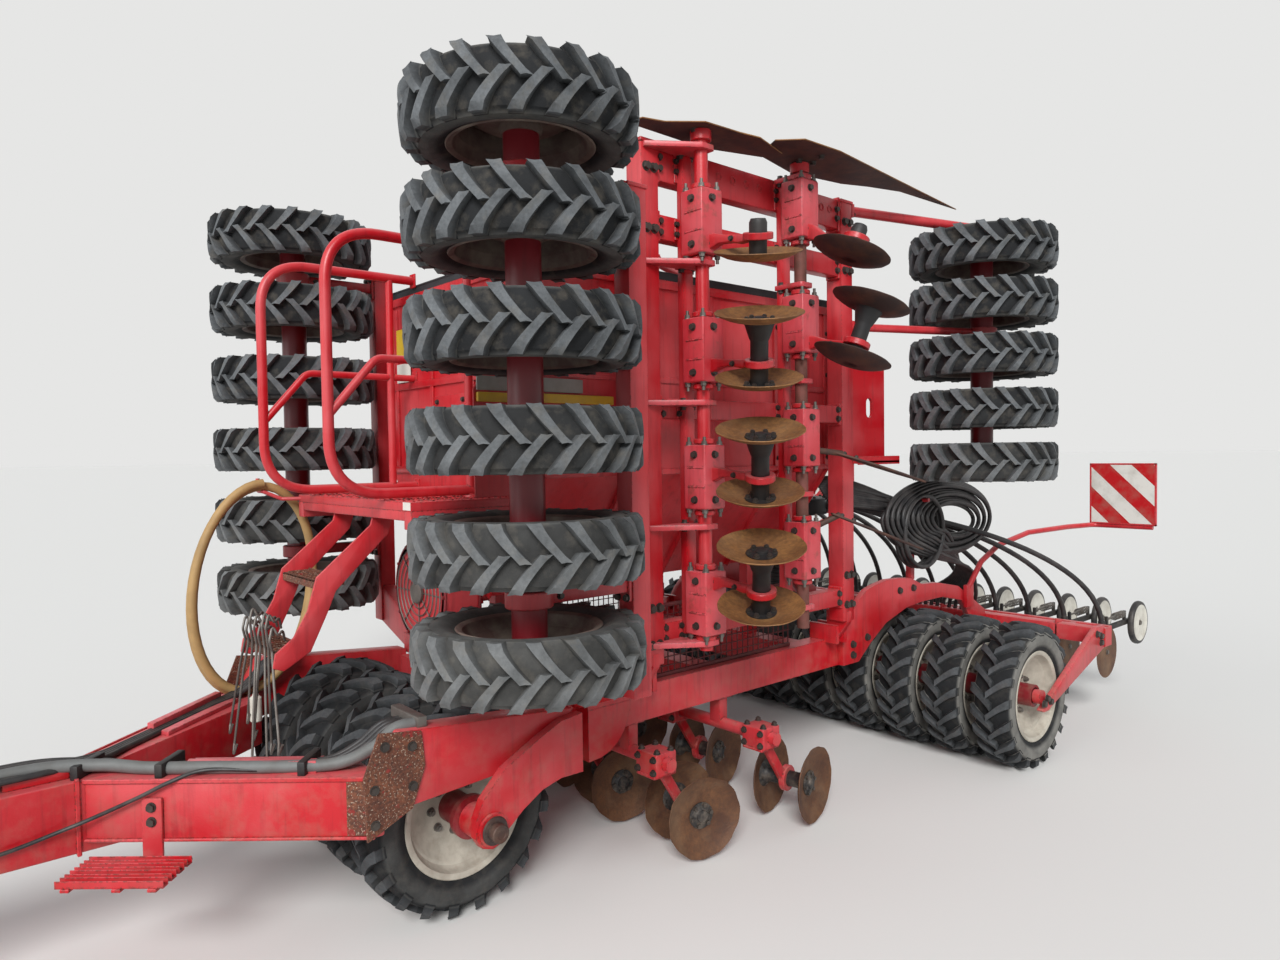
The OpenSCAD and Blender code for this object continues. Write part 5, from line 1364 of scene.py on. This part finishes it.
class DRILL_OT_platform(bpy.types.Operator):
    """Chequered deck, ladder, handrails, mesh guards and the wire rods on the ladder's foot"""

    bl_idname = "drill.platform"
    bl_label = "Platform"

    def execute(self, context):
        deck = [block((-330, -587, 1586), (180, 587, 1621), 3, 2)]
        for s in (-1, 1):
            deck.append(block((-330, s * 557 - 30, 1515), (180, s * 557 + 30, 1587), 4, 2))
        deck.append(block((150, -524, 1548), (178, 524, 1587), 4, 2))
        stud = plate([(-15, 0), (0, 5), (15, 0), (0, -5)], 4, 0, 1)
        for i in range(12):
            for j in range(27):
                turn = Matrix.Rotation(math.radians(45 if (i + j) % 2 else -45), 4, "Z")
                deck.append((stud, Matrix.Translation(spot(-305 + i * 41, -546 + j * 42, 1620.5)) @ turn))
        make_piece("platform_deck", deck, "step", "machine", ("platform",))

        side = plate([(150, 1585), (60, 1585), (95, 1475), (320, 1262), (362, 1165), (425, 1035), (530, 975),
                      (570, 990), (560, 1045), (490, 1098), (434, 1195), (396, 1322), (170, 1515)], 15, 3, 2)
        rails = [(side, side_at(205)), (side, side_at(-190))]
        rails.append(pipe((spot(536, -188, 1018), spot(536, 188, 1018)), 13, 20))
        make_piece("ladder_sides", rails, "red", "machine", ("ladder",))
        treads = []
        for x1, x2, z in ((280, 395, 1300), (435, 550, 1040)):
            treads.append(block((x1, -191, z), (x2, 191, z + 7), 2, 2))
            treads.append(block((x2 - 7, -191, z - 26), (x2, 191, z + 7), 2, 2))
            treads.append(block((x1, -191, z - 20), (x1 + 6, 191, z + 16), 2, 2))
            for k in range(9):
                treads.append(block((x1 + 14, -168 + k * 40, z + 6), (x2 - 14, -156 + k * 40, z + 13), 2, 1))
        make_piece("ladder_treads", treads, "rust", "machine")

        y = HANDRAIL_SIDE
        loop = filleted([spot(-330, y, 1650), spot(400, y, 1650), spot(400, y, 2660),
                         spot(-330, y, 2660)], 215, 14)
        knee = filleted([spot(398, y, 1955), spot(205, y, 2180), spot(-330, y, 2180)], 70, 8)
        rails = [pipe(loop, 21, 24), pipe(knee, 16, 20),
                 pipe((spot(-200, y, 1622), spot(-200, y, 2660)), 18, 24)]
        for z in (1650, 2180, 2660):
            rails.append(block((HOPPER_FACE, y - 26, z - 34), (HOPPER_FACE + 10, y + 26, z + 34), 3, 2))
        rails.append((lathe([(18, 0), (44, 0), (46, 2), (44, 8), (20, 10)], 32), spot(-200, y, 1621)))
        make_piece("handrail_tubes", rails, "red", "machine", ("handrails",), mirror=True)

        mesh = [block((-1964, 630, z), (-896, 650, z + 18), 3, 2) for z in (752, 1076)]
        for k in range(27):
            mesh.append(pipe((spot(-1957 + k * 40, 640, 762), spot(-1957 + k * 40, 640, 1084)), 3.4, 6))
        for k in range(7):
            mesh.append(pipe((spot(-1960, 645, 800 + k * 40), spot(-900, 645, 800 + k * 40)), 3, 6))
        make_piece("mesh_wires", mesh, "mesh", "machine", ("mesh_guards",), mirror=True)

        # Grey wire rods hooked over the bar between the ladder's feet
        rods = []
        for top_y, low_y, low_z, lean in WIRE_RODS:
            rise = 1128 + 22 * (top_y % 3)
            hooked = [spot(500, top_y - 34, rise - 50), spot(512, top_y - 20, rise),
                      spot(540, top_y + 12, rise - 22), spot(556, top_y, rise + 24),
                      spot(574, top_y + 16, rise - 30), spot(560, top_y, 1050)]
            hanging = [spot(560 + lean * 0.3, (top_y * 2 + low_y) / 3, 930),
                       spot(552 + lean, low_y, low_z + 40), spot(566 + lean, low_y + 30, low_z),
                       spot(560 + lean, low_y + 62, low_z + 55)]
            rods.append(pipe(filleted(hooked + hanging, 22), 5, 10))
        make_piece("bent_wire_rods", rods, "nut", "machine")
        bottle = [(0, 0), (20, 0), (23, 4), (23, 96), (20, 100), (14, 104), (9, 118), (0, 120)]
        grease = [(lathe(bottle, 32, closed=False), spot(548, -92, 720)),
                  pipe((spot(548, -92, 838), spot(540, -92, 940), spot(536, -92, 1034)), 4, 10)]
        make_piece("hanging_cylinder", grease, "white", "machine")
        return {"FINISHED"}


def over_beam(shift, z):
    """Points of a hose from the hitch back over the left beam, some mm to the right of the first one."""
    return [spot(2300, 62 - shift, z + 12), spot(1900, 58 - shift, z + 16),
            spot(1560, 40 - shift, z + 24), spot(1300, 44 - shift, z + 26),
            spot(1120, 96 - shift * 0.8, z + 10), spot(1000, 210 - shift * 0.7, z),
            spot(860, 335 - shift * 0.7, z), spot(640, 530 - shift * 0.7, z),
            spot(500, 640 - shift * 0.8, z + 6), spot(400, 700 - shift, z + 50),
            spot(330, 730 - shift, z + 110), spot(262, 742 - shift, z + 118)]


class DRILL_OT_hoses(bpy.types.Operator):
    """Seed hoses, the hanging loops, the drawbar's hoses under their covers and the tan hoop"""

    bl_idname = "drill.hoses"
    bl_label = "Hoses"

    def execute(self, context):
        lines, ends = [], []
        head = spot(RISER, 0, HEAD_Z)
        clamp = lathe([(17, 0), (20.5, 0), (21, 2), (21, 12), (20.5, 14), (17, 14)], 24)
        for i in range(COULTER_COUNT):
            angle = math.radians(180 - (i - (COULTER_COUNT - 1) / 2) * 9.4)
            out = Vector((math.cos(angle), math.sin(angle), 0))
            y = coulter_side(i)
            a, b = head + out * 0.3603, head + out * 0.700
            c, d = spot(HOSE_ENDS, y, 1150), spot(HOSE_ENDS, y, 600.3)
            route = [a * (1 - t) ** 3 + b * 3 * t * (1 - t) ** 2 + c * 3 * t * t * (1 - t) + d * t ** 3
                     for t in (k / 30 for k in range(31))]
            lines.append(pipe(route, 17, 12))
            ends.append((clamp, facing(out, head + out * 0.364)))
            ends.append((clamp, facing((0, 0, 1), spot(HOSE_ENDS, y, 612))))
        make_piece("seed_hose_lines", lines, "hose", "machine", ("seed_hoses",))
        make_piece("seed_hose_clamps", ends, "nut", "machine")

        # Distributor: folds of the riser, flanges and nuts of the head
        fold = lathe([(58, -9), (66, -5), (70, 0), (66, 5), (58, 9)], 40)
        folds = [(fold, spot(RISER, 0, z)) for z in range(760, 1380, 26)]
        crown = [(0, 0), (304, 0), (308, 4), (304, 10), (280, 12), (120, 40), (40, 48), (0, 48)]
        folds.append((lathe(crown, 64, closed=False), spot(RISER, 0, 1489)))
        folds.append((lathe([(290, 0), (306, 0), (308, 4), (306, 9), (290, 9)], 64), spot(RISER, 0, 1398)))
        make_piece("distributor_folds", folds, "iron", "machine")
        knobs = [(hex_bolt(17, 9), spot(RISER, 0, 1500) + Matrix.Rotation(a, 3, "Z") @ Vector((0.288, 0, 0)))
                 for a in (math.tau * k / 12 for k in range(12))]
        make_piece("distributor_knobs", knobs, "nut", "machine", angle=25.0)

        # Loops that hang beside the rear arm on their way to the coulter bar, the largest outside
        loops = []
        for i in range(13):
            size, shift = 1.0 - 0.048 * i, 10 * (i % 4)
            route = [spot(-2350, 520 + 8 * i, 1640 - 11 * i), spot(-2470, 640 + 5 * i, 1625 - 12 * i)]
            for k in range(16):
                a = math.radians(35 - 30 * k)
                x = -3330 - 230 * (1 - size) + 630 * size * math.cos(a) + 70 * math.sin(a)
                z = 1365 - 30 * (1 - size) + 240 * size * math.sin(a)
                route.append(spot(x, 742 + shift + 2.4 * k, z))
            route += [spot(-3740, 716 - 6 * i, 1010), spot(-3900, 690 - 22 * i, 850),
                      spot(-3990, 640 - 44 * i, 745), spot(-4005, 620 - 46 * i, 669)]
            loops.append(pipe(smooth_route(route, 5), 13, 12))
        make_piece("hanging_hose_loops", loops, "hose", "machine")
        round_hose = [(215 - 14 * math.cos(a), 14 * math.sin(a))
                      for a in (math.tau * k / 14 for k in range(14))]
        turn = lathe(round_hose, 72)
        upright = Matrix.Rotation(math.radians(90), 4, "X")
        coil = [(turn, Matrix.Translation(spot(-3050, s * (748 + 30 * i), 1301.3)) @ upright)
                for s in (-1, 1) for i in range(3)]
        make_piece("hose_loop_rings", coil, "hose", "machine", ("hose_coil",))

        # Drawbar: a grey hose, black ones over both beams and a cable from the hitch back, held by clips
        grey = [pipe(smooth_route(over_beam(0, 722), 8), 22, 16)]
        make_piece("drawbar_grey_hose", grey, "grey_hose", "machine")
        black = [pipe(smooth_route(over_beam(38 + 27 * k, 713), 8), 11, 12) for k in range(4)]
        route = [spot(2280, 60, 716), spot(2150, 128, 690), spot(1850, 138, 560), spot(1500, 140, 520),
                 spot(1230, 152, 560), spot(1060, 262, 640), spot(960, 342, 700), spot(860, 372, 722),
                 spot(720, 480, 716)]
        make_piece("drawbar_cable", [pipe(smooth_route(route, 8), 7, 10)], "hose", "machine")
        make_piece("drawbar_black_hoses", black, "hose", "machine", mirror=True)
        clips = []
        for x, y in ((1480, 0), (1150, 12), (930, 190), (560, 510)):
            turn = Matrix.Rotation(0.0 if x > 1200 else math.radians(-41.8), 4, "Z")
            clips.append((slab((-14, -70, 0), (14, 84, 50 if x < 1200 else 60), 5, 2),
                          Matrix.Translation(spot(x, y + 30, 699)) @ turn))
        make_piece("hose_clips", clips, "iron", "machine")
        holder = [block((2266, -150, 700), (2306, 96, 778), 5, 2)]
        for s in (-1, 1):
            low_y, high_y = sorted((s * 560, s * 776))
            holder.append(block((228, low_y, 826), (266, high_y, 868), 4, 2))
        plug = lathe([(0, 0), (17, 0), (19, 3), (19, 30), (14, 34), (14, 52), (0, 54)], 24, closed=False)
        for y in (62, 24, -3, -30, -57):
            holder.append((plug, facing((1, 0, 0), spot(2300, y, 738))))
        make_piece("coupling_holder", holder, "nut", "machine")
        covers = [(plate([(847, 200), (494, 505), (522, 560), (880, 262)], 20, 4, 2), spot(0, 0, 699)),
                  (plate([(884, 268), (548, 582), (566, 612), (902, 300)], 44, 4, 2), spot(0, 0, 699))]
        make_piece("beam_top_covers", covers, "worn_red", "machine", mirror=True)

        # Tan suction hose, nearly two turns over a hook at the platform's right corner
        hoop = []
        for k in range(86):
            t = math.tau * k / 48
            hoop.append(spot(330 + 268 * math.sin(t) + 45 * (1 - math.cos(t)), -618 - 26 * k / 48,
                             1200 + 478 * math.cos(t) - 14 * k / 48))
        make_piece("tan_hose_hoop", [pipe(hoop, 21, 16)], "tan", "machine")
        hook = filleted([spot(168, -560, 1602), spot(250, -612, 1602), spot(330, -632, 1640),
                         spot(332, -690, 1640), spot(332, -694, 1700)], 14)
        make_piece("hoop_hook", [pipe(hook, 9, 12)], "red", "machine")
        return {"FINISHED"}


CAMERA_PLACE = (2.864, 3.569, 1.790)
CAMERA_TURN = (-131.17, -1.719, -0.7925)  # heading, rise and roll in degrees
# Lamps: name, direction of the light, share of the key strength, spread in degrees
LAMPS = (
    ("key_light", (-6.5, -6.5, -6.0), 1.0, 24.0),
    ("side_light", (-9.0, 1.0, -4.0), 0.3, 50.0),
)


class DRILL_OT_stage(bpy.types.Operator):
    """Camera, floor, lamps and sky"""

    bl_idname = "drill.stage"
    bl_label = "Stage"

    def execute(self, context):
        settings = context.scene.drill_stage
        scene = context.scene
        camera = bpy.data.cameras.new("photo_camera")
        camera.sensor_width = 36.0
        camera.lens = settings.lens
        viewer = bpy.data.objects.new("photo_camera", camera)
        yaw, pitch, roll = (math.radians(a) for a in CAMERA_TURN)
        ahead = Vector((math.cos(yaw) * math.cos(pitch), math.sin(yaw) * math.cos(pitch), math.sin(pitch)))
        right = Vector((math.sin(yaw), -math.cos(yaw), 0.0))
        up = right.cross(ahead)
        right, up = (right * math.cos(roll) + up * math.sin(roll),
                     up * math.cos(roll) - right * math.sin(roll))
        turn = Matrix((right, up, -ahead)).transposed().to_4x4()
        viewer.matrix_world = Matrix.Translation(CAMERA_PLACE) @ turn
        scene.collection.objects.link(viewer)
        scene.camera = viewer

        bm = bmesh.new()
        bmesh.ops.create_grid(bm, x_segments=1, y_segments=1, size=400.0)
        mesh = bpy.data.meshes.new("floor")
        bm.to_mesh(mesh)
        bm.free()
        floor = bpy.data.objects.new("floor", mesh)
        scene.collection.objects.link(floor)
        made, _, shader, _ = start_material("plain_floor", 0.9)
        shader.inputs["Base Color"].default_value = linear(settings.floor)
        shader.inputs["Specular IOR Level"].default_value = 0.1
        mesh.materials.append(made)

        # Broad sun lamps light the whole floor alike, so it meets the backdrop without a seam
        for name, toward, share, spread in LAMPS:
            light = bpy.data.lights.new(name, "SUN")
            light.energy = settings.key_strength * share
            light.angle = math.radians(spread)
            lamp = bpy.data.objects.new(name, light)
            lamp.rotation_euler = Vector(toward).to_track_quat("-Z", "Y").to_euler()
            scene.collection.objects.link(lamp)

        world = bpy.data.worlds.new("studio_sky")
        world.use_nodes = True
        scene.world = world
        sky = world.node_tree
        rays = add_node(sky, "ShaderNodeLightPath")
        seen = calculate(sky, "MAXIMUM", rays.outputs["Is Camera Ray"], rays.outputs["Is Glossy Ray"])
        seen = calculate(sky, "MAXIMUM", seen, rays.outputs["Is Transmission Ray"])
        back = sky.nodes["Background"]
        sky.links.new(blend_colours(sky, seen, linear("#C9CDD2"), linear(settings.backdrop)), back.inputs[0])
        sky.links.new(calculate(sky, "ADD", calculate(sky, "MULTIPLY", seen, 0.48), 0.52), back.inputs[1])
        scene.view_settings.view_transform = "Standard"
        return {"FINISHED"}


STEPS = (DRILL_OT_stage, DRILL_OT_finishes, DRILL_OT_tyres, DRILL_OT_wheels, DRILL_OT_wing_bars,
         DRILL_OT_wing_discs, DRILL_OT_wing_frames, DRILL_OT_front_frames, DRILL_OT_deflectors,
         DRILL_OT_drawbar, DRILL_OT_centre_section, DRILL_OT_rear_section, DRILL_OT_hopper,
         DRILL_OT_platform, DRILL_OT_hoses)


class DRILL_PT_panel(bpy.types.Panel):
    """Lists the steps that dress the drill"""

    bl_idname = "DRILL_PT_panel"
    bl_label = "Seed Drill"
    bl_space_type = "VIEW_3D"
    bl_region_type = "UI"
    bl_category = "Seed Drill"

    def draw(self, context):
        for group in (context.scene.drill_tyres, context.scene.drill_paint, context.scene.drill_stage):
            box = self.layout.box()
            for name in group.__annotations__:
                box.prop(group, name)
        for step in STEPS:
            self.layout.operator(step.bl_idname)


CLASSES = (TyreSettings, PaintSettings, StageSettings) + STEPS + (DRILL_PT_panel,)


def register():
    """Registers the classes and hangs the settings on the scene."""
    for item in CLASSES:
        bpy.utils.register_class(item)
    bpy.types.Scene.drill_tyres = bpy.props.PointerProperty(type=TyreSettings)
    bpy.types.Scene.drill_paint = bpy.props.PointerProperty(type=PaintSettings)
    bpy.types.Scene.drill_stage = bpy.props.PointerProperty(type=StageSettings)


def unregister():
    """Takes the settings and the classes away again."""
    del bpy.types.Scene.drill_stage
    del bpy.types.Scene.drill_paint
    del bpy.types.Scene.drill_tyres
    for item in reversed(CLASSES):
        bpy.utils.unregister_class(item)


def main():
    """Builds everything in order."""
    register()
    bpy.ops.drill.stage()
    bpy.ops.drill.finishes()
    bpy.ops.drill.tyres()
    bpy.ops.drill.wheels()
    bpy.ops.drill.wing_bars()
    bpy.ops.drill.wing_discs()
    bpy.ops.drill.wing_frames()
    bpy.ops.drill.front_frames()
    bpy.ops.drill.deflectors()
    bpy.ops.drill.drawbar()
    bpy.ops.drill.centre_section()
    bpy.ops.drill.rear_section()
    bpy.ops.drill.hopper()
    bpy.ops.drill.platform()
    bpy.ops.drill.hoses()
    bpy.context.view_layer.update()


if __name__ == "__main__":
    main()
